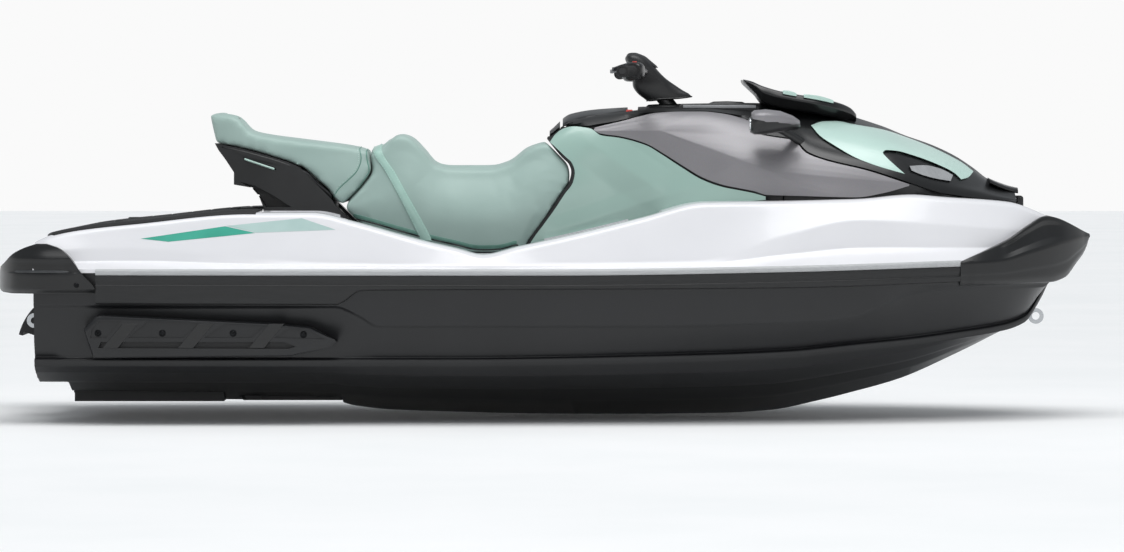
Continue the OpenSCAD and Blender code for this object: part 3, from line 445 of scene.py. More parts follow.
def well_part(side):
    """One footwell, with its corners rounded in plan and along the floor."""
    rows = []
    for inset, lift in ((22, 0), (12, 2), (4, 8), (0, 18), (0, 60), (0, 200), (0, 345)):
        aft = -745 - 0.42 * lift + inset
        fore = 250 + 0.33 * lift - inset
        corners = [(fore, WELL_IN + inset), (fore, WELL_OUT - inset), (aft, WELL_OUT - inset),
                   (aft, WELL_IN + inset)]
        middle = ((aft + fore) / 2, WELL_IN + inset, 0)
        loop = rounded([middle] + [(x, y, 40) for x, y in corners] + [(middle[0] - 1, middle[1], 0)], 6)
        rows.append([at(x, side * y, FLOOR_H + lift) for x, y in loop])
    return capped(rows)


tub = [box_part((-905, min(s * (WELL_IN - TUB_T), s * (WELL_OUT + TUB_T)), FLOOR_H - TUB_T),
                (368, max(s * (WELL_IN - TUB_T), s * (WELL_OUT + TUB_T)), 462)) for s in (1, -1)]
cut(deck, *tub, how="UNION")
cut(deck, well_part(1), well_part(-1), box_part((-640, -WELL_IN, 500), (-20, WELL_IN, 720)),
    box_part((-546, -151, 440), (-110, 151, 520)), box_part((740, -205, 440), (1190, 205, 760)))

# Printed vinyl film: a teal flash and a longer pale one along the aft quarter, as flat
# strips 0.4 mm proud of the gelcoat.
teal_film, tree, where = material("printed_vinyl_teal", Roughness=0.3, IOR=1.46)
mottled(tree, where, "#3C9F89", "#46AB95", 12.0)
pale_film, tree, where = material("printed_vinyl_pale", Roughness=0.3, IOR=1.46)
mottled(tree, where, "#A9C3BF", "#B6CECA", 12.0)


def side_skin(x, h):
    """How far out the deck's side is at x and h."""
    side = rounded(deck_side(x))
    for (y0, h0), (y1, h1) in zip(side, side[1:]):
        if h0 <= h <= h1 and h1 > h0:
            return y0 + (y1 - y0) * (h - h0) / (h1 - h0)
    return side[-1][0]


def flash(corners):
    """A four-sided strip of film on both sides, its corners given as (x, h) round from its aft one."""
    (ax, ah), (bx, bh), (cx, ch), (dx, dh) = corners
    rows = []
    for i in range(25):
        u = i / 24
        row = []
        for k in range(9):
            v = k / 8
            x = (1 - u) * ((1 - v) * ax + v * bx) + u * ((1 - v) * dx + v * cx)
            h = (1 - u) * ((1 - v) * ah + v * bh) + u * ((1 - v) * dh + v * ch)
            row.append(at(x, side_skin(x, h) + 0.5, h))
        rows.append(row)
    part = grid(rows)
    return joined(part, mirrored(part))


piece("teal_flash", flash([(-1222, 551), (-970, 588), (-880, 568), (-1138, 542)]), teal_film, "craft")
piece("pale_flash", flash([(-966, 589), (-742, 612), (-640, 578), (-876, 569)]), pale_film, "craft")

# ---- Rub rails ----
# A soft black profile that takes the knocks along the joint of hull and deck, with a light
# grey strip snapped over its top edge. Both are extruded and bent round the boat.
rail_low = fair([(-1352, 356), (-634, 356), (-560, 398), (705, 404), (1230, 418)])


def swept_side(section, stations):
    """A closed bar along both sides, from a function that gives its (y, h, radius) loop at x."""
    rows = []
    for x in stations:
        loop = section(x)
        middle = ((loop[0][0] + loop[-1][0]) / 2, (loop[0][1] + loop[-1][1]) / 2, 0)
        rows.append([at(x, y, h) for y, h in rounded([middle] + loop + [middle])[:-1]])
    part = capped(rows)
    return joined(part, mirrored(part))


def rail_section(x):
    y, s, low = rail_y(x), seam_h(x), rail_low(x)
    return [(y - RAIL_T - 4, low, 0), (y - 9, low + 2, 4), (y - 5, low + 12, 3), (y - 3, s - 38, 3),
            (y - 6, s - 34, 2), (y - 5, s - 29, 2), (y - 1, s - 22, 4), (y, s - 8, 3),
            (y - RAIL_T - 4, s - 7, 0)]


def strip_section(x):
    y, s = rail_y(x), seam_h(x)
    return [(y - RAIL_T - 2, s - 7, 0), (y - 2, s - 7, 2), (y + 1, s - 3, 3), (y + 1, s + STRIP_H - 8, 4),
            (y - 6, s + STRIP_H - 1, 3), (y - RAIL_T - 2, s + 1, 0)]


# Thermoplastic elastomer: black and matt, faintly streaked along its length by the die.
elastomer, tree, where = material("extruded_elastomer_black", Roughness=0.46, IOR=1.5)
along = add(tree, "ShaderNodeMapping", {"Vector": where, "Scale": (3, 60, 60)})
streak = mottled(tree, along, "#111213", "#191A1B", 3.0, 3.0)
feed(tree, Normal=add(tree, "ShaderNodeBump", {"Height": streak, "Strength": 0.05, "Distance": 0.001}))
# Vinyl strip: light grey and half matt, scuffed unevenly along its length.
strip_vinyl, tree, where = material("extruded_vinyl_grey", IOR=1.53)
along = add(tree, "ShaderNodeMapping", {"Vector": where, "Scale": (4, 80, 80)})
mottled(tree, along, "#A6A8A9", "#B4B6B7", 4.0, 2.0, (0.34, 0.5))

rail_stations = spread(-1352, 1230, 20)
piece("rub_rail_profile", swept_side(rail_section, rail_stations), elastomer, "craft",
      ["rub_rails"])
piece("rail_strip_profile", swept_side(strip_section, rail_stations), strip_vinyl, "craft",
      ["rail_strips"])

# ---- Bow bumper ----
# A thick blow-moulded cap over the stem, folded along a rising ridge, with a scoop let in
# to its upper face. It laps the ends of the rub rails and is held by a screw each side.
cap_low = fair([(1230, 407), (1520, 412), (1568, 425), (1608, 468), (1640, 506), (1654, 545)])
cap_top = fair([(1230, 480), (1383, 545), (1445, 585), (1506, 613), (1654, 556)])
cap_ridge = fair([(1230, 474), (1352, 480), (1445, 502), (1568, 533), (1654, 550)])


def cap_frame(x):
    y = rail_y(min(x, 1640)) + 6 - 24 * fade(x, 1640, 1654)
    low, top, ridge = cap_low(x), cap_top(x), max(cap_ridge(x), cap_low(x) + 4)
    reach = 0.35 * (top - ridge) + 8
    sink = 11 * fade(x, 1350, 1385) * (1 - fade(x, 1500, 1570))
    lap = 3 * (1 - fade(x, 1262, 1270))

    def face(share, depth):
        return (y - reach * share - depth, ridge + (top - ridge) * share)
    thick = ridge - low
    return rounded([(0, low, 0), (max(1, y - 30 - lap), low, 8), (y - 10 - lap, low + 0.18 * thick, 10),
                    (y - 7 - lap, low + 0.42 * thick, 6), (y - 3 - lap, low + 0.50 * thick, 5),
                    (y - lap, ridge - 3, 4),
                    face(0.10, lap), face(0.30, sink) + (3,), face(0.72, sink) + (3,), face(0.86, 0) + (3,),
                    face(1, 0) + (6,), (0, top + 1, 0)][:6]
                   + [face(0.10, lap) + (3,)] + [face(0.30, sink) + (3,), face(0.72, sink) + (3,),
                                                 face(0.86, 0) + (3,), face(1, 0) + (6,), (0, top + 1, 0)])


# Blow-moulded polyethylene: black and a little waxy, with fine draw marks.
bumper_plastic, tree, where = material("blow_moulded_polyethylene_black", IOR=1.51)
mottled(tree, where, "#0E0F10", "#151617", 9.0, 4.0, (0.26, 0.38))
grain = add(tree, "ShaderNodeTexNoise", {"Vector": where, "Scale": 600.0, "Detail": 2.0})
feed(tree, Normal=add(tree, "ShaderNodeBump", {"Height": grain, "Strength": 0.10, "Distance": 0.0005}))

piece("bow_cap", capped([both_halves(cap_frame(x), x) for x in spread(1230, 1640, 10) + [1645, 1650, 1654]]),
      bumper_plastic, "craft", ["bow_bumper"], bevel=3)

# ---- Stern bumpers ----
# A corner bumper each side wraps the transom's edge and climbs in a slope to the deck. It
# has a long scoop with a painted highlight along its shelf, and ends forward in a slanted lap over the rail.
corner_out = fair([(-1660, 0), (-1652, 52), (-1638, 112), (-1590, 190), (-1500, 228), (-1352, 234)])
corner_aft = fair([(388, -1611), (391, -1648), (403, -1660), (430, -1660), (462, -1654), (477, -1635),
                   (505, -1605), (524, -1568), (536, -1531)])
corner_fore = fair([(388, -1352), (397, -1352), (444, -1389), (521, -1457), (536, -1500)])


def corner_loop(h):
    base = rail_y(-1500) - 220
    aft, fore = corner_aft(h), corner_fore(h)
    soft = 16 * (1 - fade(h, 388, 402)) + 24 * fade(h, 470, 536)
    sink = 8 * fade(h, 448, 452) * (1 - fade(h, 478, 492))
    outer = []
    for x in spread(fore, aft, 12)[:-1] + [aft + 3, aft]:
        scoop = sink * fade(x, -1640, -1590) * (1 - fade(x, -1440, -1385))
        outer.append((x, base + corner_out(x) - soft - scoop))
    count = 26
    picks = [outer[round(i * (len(outer) - 1) / (count - 1))] for i in range(count)]
    inner = [(aft + 2, 262 + soft), (max(aft + 12, -1612), 222 + soft),
             (-1538 + max(0, aft + 1560), 222 + soft), (-1500 + max(0, aft + 1531), base + 150),
             (fore, base + 150)]
    return picks + inner


corner_rows = [[at(x, y, h) for x, y in corner_loop(h)] for h in
               [388, 390, 393, 397, 402, 408, 416, 425, 436, 446, 449, 451, 456, 464, 472, 478, 483, 489, 495,
                503, 511, 519, 526, 532, 536]]
corner = capped(corner_rows)
piece("stern_corner_bumpers", joined(corner, mirrored(corner)), bumper_plastic, "craft",
      ["stern_bumpers"], smooth=40)

# A lighter grey strip along the shelf of each scoop is a painted highlight.
shelf_highlight_grey, tree, where = material("shelf_painted_highlight_grey", Roughness=0.5, IOR=1.52)
mottled(tree, where, "#2E3032", "#3A3C3E", 40.0)
shelf_highlight_rows = []
for x in spread(-1612, -1400, 8):
    reach = 13 * math.sin(math.pi * min(1, (x + 1612) / 60) / 2) * (1 - 0.9 * fade(x, -1480, -1400))
    y = rail_y(-1500) - 220 + corner_out(x)
    shelf_highlight_rows.append([at(x, y - 12, 451), at(x, y - 12 + reach, 450), at(x, y - 12 + reach, 454),
                       at(x, y - 12, 460)])
shelf = capped(shelf_highlight_rows)
piece("corner_shelf_highlights", joined(shelf, mirrored(shelf)), shelf_highlight_grey, "craft")

# ---- Rear deck mat ----
# A black foam mat glued over the boarding deck, its edge turned down a little way over the
# gunwale. It is pressed into long ribs with channels between them.
MAT_T = 6


def mat_edge(x):
    return rail_y(x) - gunwale_in(x) - 16


mat_rows = []
for x in spread(-1508, -880, 4):
    e = mat_edge(x) * (1 - 0.30 * (1 - fade(x, -1540, -1480)))
    g = gunwale_h(x)
    inner = 150 * fade(x, -1010, -960)
    cross = 2.2 if abs((x + 1508) % 62 - 31) > 27 else 0
    skirt = 22 - 8 * fade(x, -1300, -900)
    row = [(e + 12, g - skirt), (e + 13, g - skirt + 3), (e + 6, g + 0), (e - 4, g + MAT_T)]
    for y in spread(e - 14, inner + 10, 12):
        groove = 2.2 if int((e - y) / 12) % 3 == 0 else 0
        row.append((y, g + MAT_T + 1.5 - max(groove, cross)))
    count = 44
    fine = [row[min(len(row) - 1, 4 + round(i * (len(row) - 5) / (count - 1)))] for i in range(count)]
    top = row[:4] + fine
    under = [(inner + 8, g + 0.5), (e - 20, g + 0.5), (e + 2, g - 6), (e + 9, g - skirt)]
    mat_rows.append([at(x, y, h) for y, h in top + under])
mat = capped(mat_rows)

# Closed-cell foam: black, dry and matt, with a crushed grain.
mat_foam, tree, where = material("closed_cell_foam_black", IOR=1.5)
cells = add(tree, "ShaderNodeTexVoronoi", {"Vector": where, "Scale": 380.0})
mottled(tree, where, "#0F1011", "#1A1B1C", 14.0, 4.0, (0.62, 0.8))
feed(tree, Normal=add(tree, "ShaderNodeBump", {"Height": cells, "Strength": 0.25, "Distance": 0.0008}))
piece("boarding_deck_mat", joined(mat, mirrored(mat)), mat_foam, "craft", ["rear_mat"],
      smooth=30)

# ---- Footwell mats ----
# Ribbed foam mats on the floor of each footwell, with rounded corners and cross channels
# every few centimetres for the rider's feet.
well_rows = []
for x in spread(-694, 206, 5):
    ends = min(1, (x + 698) / 26, (210 - x) / 26)
    side = 26 * (1 - math.sqrt(max(0, 1 - (1 - ends) ** 2)))
    lift = MAT_T - (2.5 if (x + 694) % 40 < 9 else 0)
    lo, hi = WELL_IN + 9 + side, WELL_OUT - 9 - side
    well_rows.append([at(x, y, FLOOR_H + h) for y, h in
                      [(lo, 0.3), (lo, lift - 1.5), (lo + 2, lift)]
                      + [(lo + (hi - lo) * k / 12, lift) for k in range(1, 12)]
                      + [(hi - 2, lift), (hi, lift - 1.5), (hi, 0.3)]])
well_mat = capped(well_rows)
piece("footwell_foam_mats", joined(well_mat, mirrored(well_mat)), mat_foam, "craft",
      ["footwell_mats"], smooth=30)

# ---- Accessory anchors ----
# Two moulded cups let into the boarding deck, each with a raised collar and a bayonet slot
# for the foot of a rack.
def turned(profile, centre, axis, count=48):
    """A body turned from (distance along axis, radius) points about an axis through centre."""
    spin = Vector(axis).normalized().to_track_quat("Z", "Y").to_matrix()
    rows = []
    for along, radius in profile:
        rows.append([Vector(centre)
                     + spin @ Vector((math.cos(a) * radius / 1000, math.sin(a) * radius / 1000, along / 1000))
                     for a in [2 * math.pi * k / count for k in range(count)]])
    return capped(rows)


anchor_low, anchor_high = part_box("accessory_anchors")
anchor_r = 1000 * (anchor_high[0] - anchor_low[0]) / 2
anchor_top = 1000 * (anchor_high[2] - KEEL)
cup = turned([(450 - anchor_top, 0.5), (450 - anchor_top, anchor_r), (-8, anchor_r), (-7, anchor_r + 5),
              (-2, anchor_r + 5), (0, anchor_r + 2), (0, 21), (-1.5, 19), (-39, 19), (-40, 18), (-40, 0.5)],
             at(-1290, 250, anchor_top), (0, 0, 1))
# Moulded nylon: black, tough and slightly shiny on its rubbed collar.
moulded_nylon, tree, where = material("moulded_nylon_black", IOR=1.53)
mottled(tree, where, "#0F1011", "#171819", 30.0, 3.0, (0.36, 0.52))
grain = add(tree, "ShaderNodeTexNoise", {"Vector": where, "Scale": 700.0, "Detail": 2.0})
feed(tree, Normal=add(tree, "ShaderNodeBump", {"Height": grain, "Strength": 0.2, "Distance": 0.0005}))
piece("accessory_anchor_cups", joined(cup, mirrored(cup)), moulded_nylon, "craft",
      ["accessory_anchors"], bevel=0.8)

# ---- Side covers ----
# Painted panels between the saddle and the console, moulded in mint plastic. Each is one
# curved skin with two soft character lines, and its rim is turned in behind.
crown_h = fair([(-110, 800), (-30, 850), (0, 875), (60, 924), (150, 939), (300, 947), (450, 950), (600, 958),
                (700, 955), (860, 936), (1013, 893), (1090, 862), (1167, 835), (1240, 801), (1300, 762),
                (1345, 728), (1400, 704), (1432, 694)])
shoulder_h = fair([(-110, 770), (-30, 830), (60, 884), (150, 905), (300, 928), (450, 932), (600, 905),
                   (800, 872), (1013, 830), (1167, 775), (1300, 712), (1400, 678), (1432, 672)])
shoulder_y = fair([(-110, 140), (0, 148), (150, 158), (300, 172), (450, 190), (600, 215), (800, 262),
                   (1013, 252), (1167, 200), (1300, 132), (1400, 76), (1432, 50)])
waist_h = fair([(-110, 640), (150, 770), (300, 800), (450, 790), (600, 780), (800, 765), (1013, 735),
                (1167, 700), (1300, 675), (1432, 662)])
waist_y = fair([(-110, 192), (150, 190), (300, 216), (450, 262), (600, 318), (800, 366), (1013, 340),
                (1167, 286), (1300, 204), (1400, 136), (1432, 92)])
base_y = fair([(-110, 204), (150, 212), (300, 238), (450, 284), (600, 342), (800, 388), (1013, 360),
               (1167, 304), (1300, 218), (1400, 146), (1432, 100)])
BODY_BASE = 480
PANEL_T = 20


def smooth_line(points, count, sharp=False):
    """count points along a line through (a, b) points: fair if smooth, or straight between them if sharp."""
    run = [0.0]
    for p, q in zip(points, points[1:]):
        run.append(run[-1] + math.dist(p, q))
    if sharp:
        out = []
        for k in range(count):
            s = run[-1] * k / (count - 1)
            i = max(j for j in range(len(run) - 1) if run[j] <= s + 1e-9)
            t = (s - run[i]) / max(run[i + 1] - run[i], 1e-9)
            out.append((points[i][0] + (points[i + 1][0] - points[i][0]) * t,
                        points[i][1] + (points[i + 1][1] - points[i][1]) * t))
        return out
    a = fair(list(zip(run, [p[0] for p in points])))
    b = fair(list(zip(run, [p[1] for p in points])))
    return [(a(run[-1] * k / (count - 1)), b(run[-1] * k / (count - 1))) for k in range(count)]


section_kept = {}


def section(x):
    """The upper body's fair outline at x as (y, h) points, from its foot up to the middle of its crown."""
    key = round(x, 2)
    if key not in section_kept:
        s, c, w = shoulder_h(x), crown_h(x), shoulder_y(x)
        corners = [(base_y(x), BODY_BASE, 0), (waist_y(x), waist_h(x), 90), (w, s, 60),
                   (0.5 * w, 0.35 * s + 0.65 * c, 60), (0, c, 0)]
        section_kept[key] = rounded(corners, 8)
    return section_kept[key]


def skin(x, h):
    """How far out the upper body is at x and h."""
    line = section(x)
    for (y0, h0), (y1, h1) in zip(line, line[1:]):
        if h0 <= h <= h1 and h1 > h0:
            return y0 + (y1 - y0) * (h - h0) / (h1 - h0)
    return line[0][0] if h < line[0][1] else 0.0


def fold(x, h, start, end, width, height):
    """A long soft ridge of that height along the line from start to end in side view, fading at its ends."""
    run = Vector((end[0] - start[0], end[1] - start[1]))
    off = Vector((x - start[0], h - start[1]))
    t = off.dot(run) / run.length_squared
    near = abs(off.x * run.y - off.y * run.x) / run.length
    if near >= width or t < -0.1 or t > 1.1:
        return 0.0
    tent = 1 - math.sqrt((near / width) ** 2 + 0.002)
    return max(0, tent) * height * fade(t, -0.1, 0.12) * (1 - fade(t, 0.88, 1.1))


def blend_rows(low, high, left, right, wide, tall):
    """Points in side view over a four-sided outline given by its (x, h) edges, as rows from low to high."""
    low, high = smooth_line(low, wide), smooth_line(high, wide)
    left, right = smooth_line(left, tall), smooth_line(right, tall)
    rows = []
    for j in range(tall):
        v = j / (tall - 1)
        row = []
        for i in range(wide):
            u = i / (wide - 1)
            row.append(tuple((1 - v) * low[i][k] + v * high[i][k] + (1 - u) * left[j][k] + u * right[j][k]
                             - ((1 - u) * (1 - v) * low[0][k] + u * (1 - v) * low[-1][k]
                                + (1 - u) * v * high[0][k] + u * v * high[-1][k]) for k in (0, 1)))
        rows.append(row)
    return rows


def panel(rows, thick, raise_by=lambda x, h: 0.0, out=0.0):
    """A closed panel on the upper body over rows of (x, h), with its face raised by raise_by."""
    outer = [[at(x, skin(x, h) + raise_by(x, h) + out, h) for x, h in row] for row in rows]
    inner = [[at(x, max(2, skin(x, h) - thick), h) for x, h in row] for row in rows]
    wide, tall = len(rows[0]), len(rows)
    count = wide * tall
    faces = grid(outer)[1] + [tuple(i + count for i in reversed(f)) for f in grid(inner)[1]]
    rim = ([j * wide for j in range(tall)] + [(tall - 1) * wide + i for i in range(1, wide)]
           + [j * wide + wide - 1 for j in range(tall - 2, -1, -1)] + [i for i in range(wide - 2, 0, -1)])
    for a, b in zip(rim, rim[1:] + rim[:1]):
        faces.append((a, b, b + count, a + count))
    return [p for row in outer + inner for p in row], faces


seat_front = [(-84, 500), (-66, 536), (-26, 591), (5, 634), (36, 681), (60, 715), (66, 745), (58, 773),
              (36, 795), (-10, 838)]
cover_left = [(x + 7, h) for x, h in seat_front]
cover_top = [(-3, 838), (14, 862), (40, 880), (70, 886), (100, 883), (124, 878), (151, 859), (213, 850),
             (290, 828), (336, 801), (397, 761), (459, 724), (521, 702), (567, 693), (613, 684), (648, 674)]
cover_low = [(-77, 500), (0, 528), (89, 556), (213, 590), (330, 618), (459, 650), (560, 658), (648, 664)]


def cover_lines(x, h):
    return (fold(x, h, (95, 850), (330, 690), 70, 9) + fold(x, h, (-10, 560), (420, 700), 46, 5)
            - 2.0 * fade(h, 560, 500))


# Painted plastic: mint under clear lacquer, gently uneven, with a fine orange peel.
mint_paint, tree, where = material("lacquered_plastic_mint", Roughness=0.30, IOR=1.5, Coat_Weight=0.35,
                                   Coat_Roughness=0.12)
mottled(tree, where, "#9AB8AE", "#A4C1B7", 2.5)
peel = add(tree, "ShaderNodeTexNoise", {"Vector": where, "Scale": 140.0, "Detail": 1.0})
feed(tree, Normal=add(tree, "ShaderNodeBump", {"Height": peel, "Strength": 0.04, "Distance": 0.0005}))
cover = panel(blend_rows(cover_low, cover_top, cover_left, [(648, 664), (648, 674)], 90, 44), PANEL_T,
              cover_lines)
piece("mint_side_covers", joined(cover, mirrored(cover)), mint_paint, "craft", ["side_covers"],
      bevel=2.5, smooth=40)

# ---- Console panels ----
# Metallic grey panels that run on forward to the hood, each folded into flat faces that
# meet in sharp lines below the mirror and take the light differently.
grey_low = [(131, 874), (151, 864), (213, 855), (290, 833), (338, 806), (401, 766), (462, 730), (524, 708),
            (569, 699), (614, 690), (652, 679), (760, 676), (921, 672), (1000, 684), (1082, 706)]
grey_top = [(134, 882), (170, 891), (213, 901), (274, 917), (320, 927), (400, 931), (459, 931), (521, 925),
            (570, 914), (606, 900), (634, 862), (680, 853), (734, 843), (770, 806), (829, 783), (952, 753),
            (1083, 711)]
# where the folds meet, as (x, h, how far the face stands out)
GREY_KNOTS = [(120, 872, 0), (333, 872, 9), (459, 940, 0), (606, 915, 0), (598, 853, 4), (567, 785, 17),
              (666, 749, 13), (775, 812, 0), (1090, 713, 0), (765, 700, 8), (921, 664, 0), (652, 672, 0),
              (468, 716, 0), (338, 796, 0), (500, 792, 7), (700, 905, 0)]
GREY_FACES = [(0, 1, 13), (0, 1, 2), (1, 2, 3), (1, 3, 4), (1, 4, 5), (1, 5, 14), (1, 14, 13), (13, 14, 12),
              (12, 14, 5), (12, 5, 6), (12, 6, 11), (11, 6, 9), (9, 6, 10), (6, 8, 10), (6, 7, 8), (5, 6, 7),
              (5, 4, 7), (11, 9, 10), (3, 4, 15), (4, 7, 15)]


def grey_lines(x, h):
    for trio in GREY_FACES:
        (ax, ah, ar), (bx, bh, br), (cx, ch, cr) = (GREY_KNOTS[i] for i in trio)
        whole = (bx - ax) * (ch - ah) - (cx - ax) * (bh - ah)
        u = ((bx - x) * (ch - h) - (cx - x) * (bh - h)) / whole
        v = ((cx - x) * (ah - h) - (ax - x) * (ch - h)) / whole
        if u >= -0.001 and v >= -0.001 and u + v <= 1.001:
            return u * ar + v * br + (1 - u - v) * cr
    return 0.0


# Metallic lacquer: mid grey with aluminium flake of 0.1 mm, drawn at 1.5 mm so that it shows.
metallic, tree, where = material("metallic_lacquer_grey", Metallic=0.25, Roughness=0.42, Coat_Weight=0.25,
                                 Coat_Roughness=0.18)
flake = add(tree, "ShaderNodeTexVoronoi", {"Vector": where, "Scale": 650.0})
cloud = add(tree, "ShaderNodeTexNoise", {"Vector": where, "Scale": 3.0, "Detail": 2.0})
tint = add(tree, "ShaderNodeValToRGB", {"Fac": cloud}, stops=((0.3, "#807E81"), (0.7, "#8B898C")))
feed(tree, Base_Color=add(tree, "ShaderNodeMixRGB", {"Fac": 0.05, "Color1": tint,
                                                      "Color2": flake.outputs["Color"]},
                          blend_type="OVERLAY"))
grey = panel(blend_rows(grey_low, grey_top, [(131, 874), (134, 882)], [(1082, 706), (1083, 711)], 190, 56),
             PANEL_T, grey_lines)
piece("grey_console_panels", joined(grey, mirrored(grey)), metallic, "craft",
      ["console_panels"], bevel=2.0, smooth=40)

# ---- Console ----
# The black inner moulding that carries both sets of panels. Its top shows between them as
# a dash with a well for the glovebox and a socket for the steering column.
dash_line = fair([(-14, 852), (28, 882), (60, 893), (124, 886), (213, 905), (274, 920), (320, 930),
                  (459, 934), (521, 928), (606, 904), (700, 850)])


def console_frame(x):
    edge = min(dash_line(x), crown_h(x) - 8)
    back = 26
    low = [(y - back, h) for y, h in section(x) if h < edge - 10 and y > back + 12]
    rim = skin(x, edge)
    high = [(y, h) for y, h in section(x) if h > edge + 3]
    half = ([(0, BODY_BASE)] + low + [(max(14, skin(x, edge - 3) - back), edge - 3), (rim - 1.5, edge + 0.5),
                                      (skin(x, edge + 2) - 0.4, edge + 2)] + high)
    return both_halves(smooth_line(half, 40, sharp=True), x)


console = piece("console_moulding", capped([console_frame(x) for x in spread(-4, 700, 12)]), moulded_nylon,
                "craft", ["console"], bevel=0, smooth=32)
GLOVE_AFT, GLOVE_FORE, GLOVE_HALF = 34, 262, 96
behind_edge = ([(-200, 1100), (-4, 1100), (-4, 842), (-8, 840)]
               + [(x + 5, h) for x, h in reversed(seat_front)] + [(-200, 490)])
TILT = math.radians(38)
column_axis = Vector((-math.sin(TILT), 0, math.cos(TILT)))
COLUMN_X, COLUMN_H = 372, 940
COLUMN_FOOT = at(COLUMN_X, 0, COLUMN_H)
cut(console, capped([[at(x, y, h) for x, h in behind_edge] for y in (-300, 300)]),
    box_part((GLOVE_AFT - 6, -GLOVE_HALF - 6, 880), (GLOVE_FORE + 6, GLOVE_HALF + 6, 1100)),
    box_part((GLOVE_AFT + 52, -82, 730), (GLOVE_FORE - 26, 82, 900)),
    turned([(-60, 22.6), (200, 22.6)], COLUMN_FOOT, column_axis))

# ---- Storage bin ----
# The black tub under the hood, with a ledge round its mouth for the hood to shut on and two
# ears ahead of it for the hood's hinge pin.
hood_low = fair([(612, 905), (640, 868), (736, 850), (776, 812), (832, 790), (955, 760), (1090, 716),
                 (1195, 684), (1389, 664), (1440, 663)])


def bin_frame(x):
    edge = hood_low(x) - 6
    back = 34
    low = [(y - 24, h) for y, h in section(x) if h < edge - 24 and y > 40] or [(30, BODY_BASE + 60)]
    ledge = [(max(6, skin(x, edge - 16) - 24), edge - 16), (max(5, skin(x, edge) - 6), edge - 10),
             (max(4, skin(x, edge) - 3), edge), (max(3, skin(x, edge + 4) - back), edge + 2)]
    high = [(max(2, y - back * min(1, y / 120)), h - 31) for y, h in section(x) if h - 31 > edge + 6]
    half = [(0, BODY_BASE)] + low + ledge + high + [(0, max(crown_h(x) - 31, edge + 5))]
    return both_halves(smooth_line(half, 44, sharp=True), x)


bin_body = piece("storage_bin_moulding", capped([bin_frame(x) for x in spread(704, 1424, 12)]), moulded_nylon,
                 "craft", ["storage_bin"], smooth=32)
cut(bin_body, box_part((800, -200, 500), (1130, 200, 1100)), box_part((1396, -27, 654), (1440, 27, 760)))
HINGE_X, HINGE_H, EAR_R = 1442, 664, 9
ear = []
for side in (1, -1):
    arch = [(HINGE_X + EAR_R * math.cos(a), HINGE_H + EAR_R * math.sin(a))
            for a in [math.pi * k / 12 for k in range(13)]]
    loop = [(HINGE_X + EAR_R, 590), *arch, (HINGE_X - EAR_R, 590)]
    ear.append(capped([[at(x, side * y, h) for x, h in loop] for y in (29, 41)]))
piece("hood_hinge_ears", joined(*ear), moulded_nylon, "craft", bevel=1.2)

# ---- Hood ----
# A black moulded lid over the front storage, hinged at its nose. It is a deep shell with a
# rolled lower edge, and its top carries the coloured panels and the wind deflector.
INLAY_T = 4


def hood_arc(x, sink, count=30):
    """Half the hood's line at x, from its lower edge to the middle of its crown, sunk below the skin."""
    edge = hood_low(x)
    line = [(skin(x, edge), edge)] + [(y, h) for y, h in section(x) if h > edge + 2]
    line = smooth_line(line, count, sharp=True)
    out = []
    for i, (y, h) in enumerate(line):
        before, after = line[max(0, i - 1)], line[min(count - 1, i + 1)]
        slope = Vector((after[1] - before[1], before[0] - after[0]))
        slope = slope.normalized() if slope.length else Vector((0, 1))
        if i == count - 1:
            slope = Vector((0, 1))
        out.append((max(0, y - slope.x * sink), h - slope.y * sink))
    return out


def hood_frame(x):
    sink = INLAY_T + 2 * (1 - fade(x, 612, 640))
    outer, inner = hood_arc(x, sink), hood_arc(x, PANEL_T)
    # the edge rolls out by a few millimetres over its lowest 30
    rolled = []
    for i, (y, h) in enumerate(outer):
        near = 1 - fade(h - hood_low(x), 16, 34)
        rolled.append((y + 5.5 * near, h))
    outer = rolled
    return ([at(x, y, h) for y, h in outer] + [at(x, -y, h) for y, h in reversed(outer[:-1])]
            + [at(x, -y, h) for y, h in inner] + [at(x, y, h) for y, h in reversed(inner[:-1])])


hood_shell = capped([hood_frame(x) for x in spread(622, 1425, 8)])
lip_rows = []
for x in spread(1345, 1436, 6):
    t = (x - 1345) / 91
    w = shoulder_y(min(x, 1432)) * 0.72 * (1 - 0.5 * t * t)
    top = 0.7 * crown_h(min(x, 1432)) + 0.3 * shoulder_h(min(x, 1432)) + 9
    lip_rows.append(both_halves(rounded([(0, top - 14, 0), (w + 6, top - 17, 4), (w + 10, top - 10, 5),
                                         (w, top - 3, 6), (0, top + 1, 0)]), x))
# Moulded ABS: deep black with a leathery grain, shinier where it turns down at the edges.
moulded_abs, tree, where = material("moulded_abs_black", IOR=1.53)
mottled(tree, where, "#0C0D0E", "#131415", 7.0, 4.0, (0.24, 0.36))
grain = add(tree, "ShaderNodeTexVoronoi", {"Vector": where, "Scale": 520.0})
feed(tree, Normal=add(tree, "ShaderNodeBump", {"Height": grain, "Strength": 0.07, "Distance": 0.0005}))
piece("hood_shell", joined(hood_shell, capped(lip_rows)), moulded_abs, "front_hood",
      ["hood"], bevel=2.0, smooth=40)
tongue = joined(box_part((HINGE_X - 22, -25, HINGE_H + 2), (HINGE_X + 4, 25, HINGE_H + 9)),
                turned([(-43, 4.2), (-42, 5), (42, 5), (43, 4.2)], at(HINGE_X, 0, HINGE_H), (0, 1, 0), 24),
                turned([(-25, 8.5), (-24, 9), (24, 9), (25, 8.5)], at(HINGE_X, 0, HINGE_H), (0, 1, 0), 24))
piece("hood_hinge_tongue", tongue, moulded_abs, "front_hood", bevel=1.0)
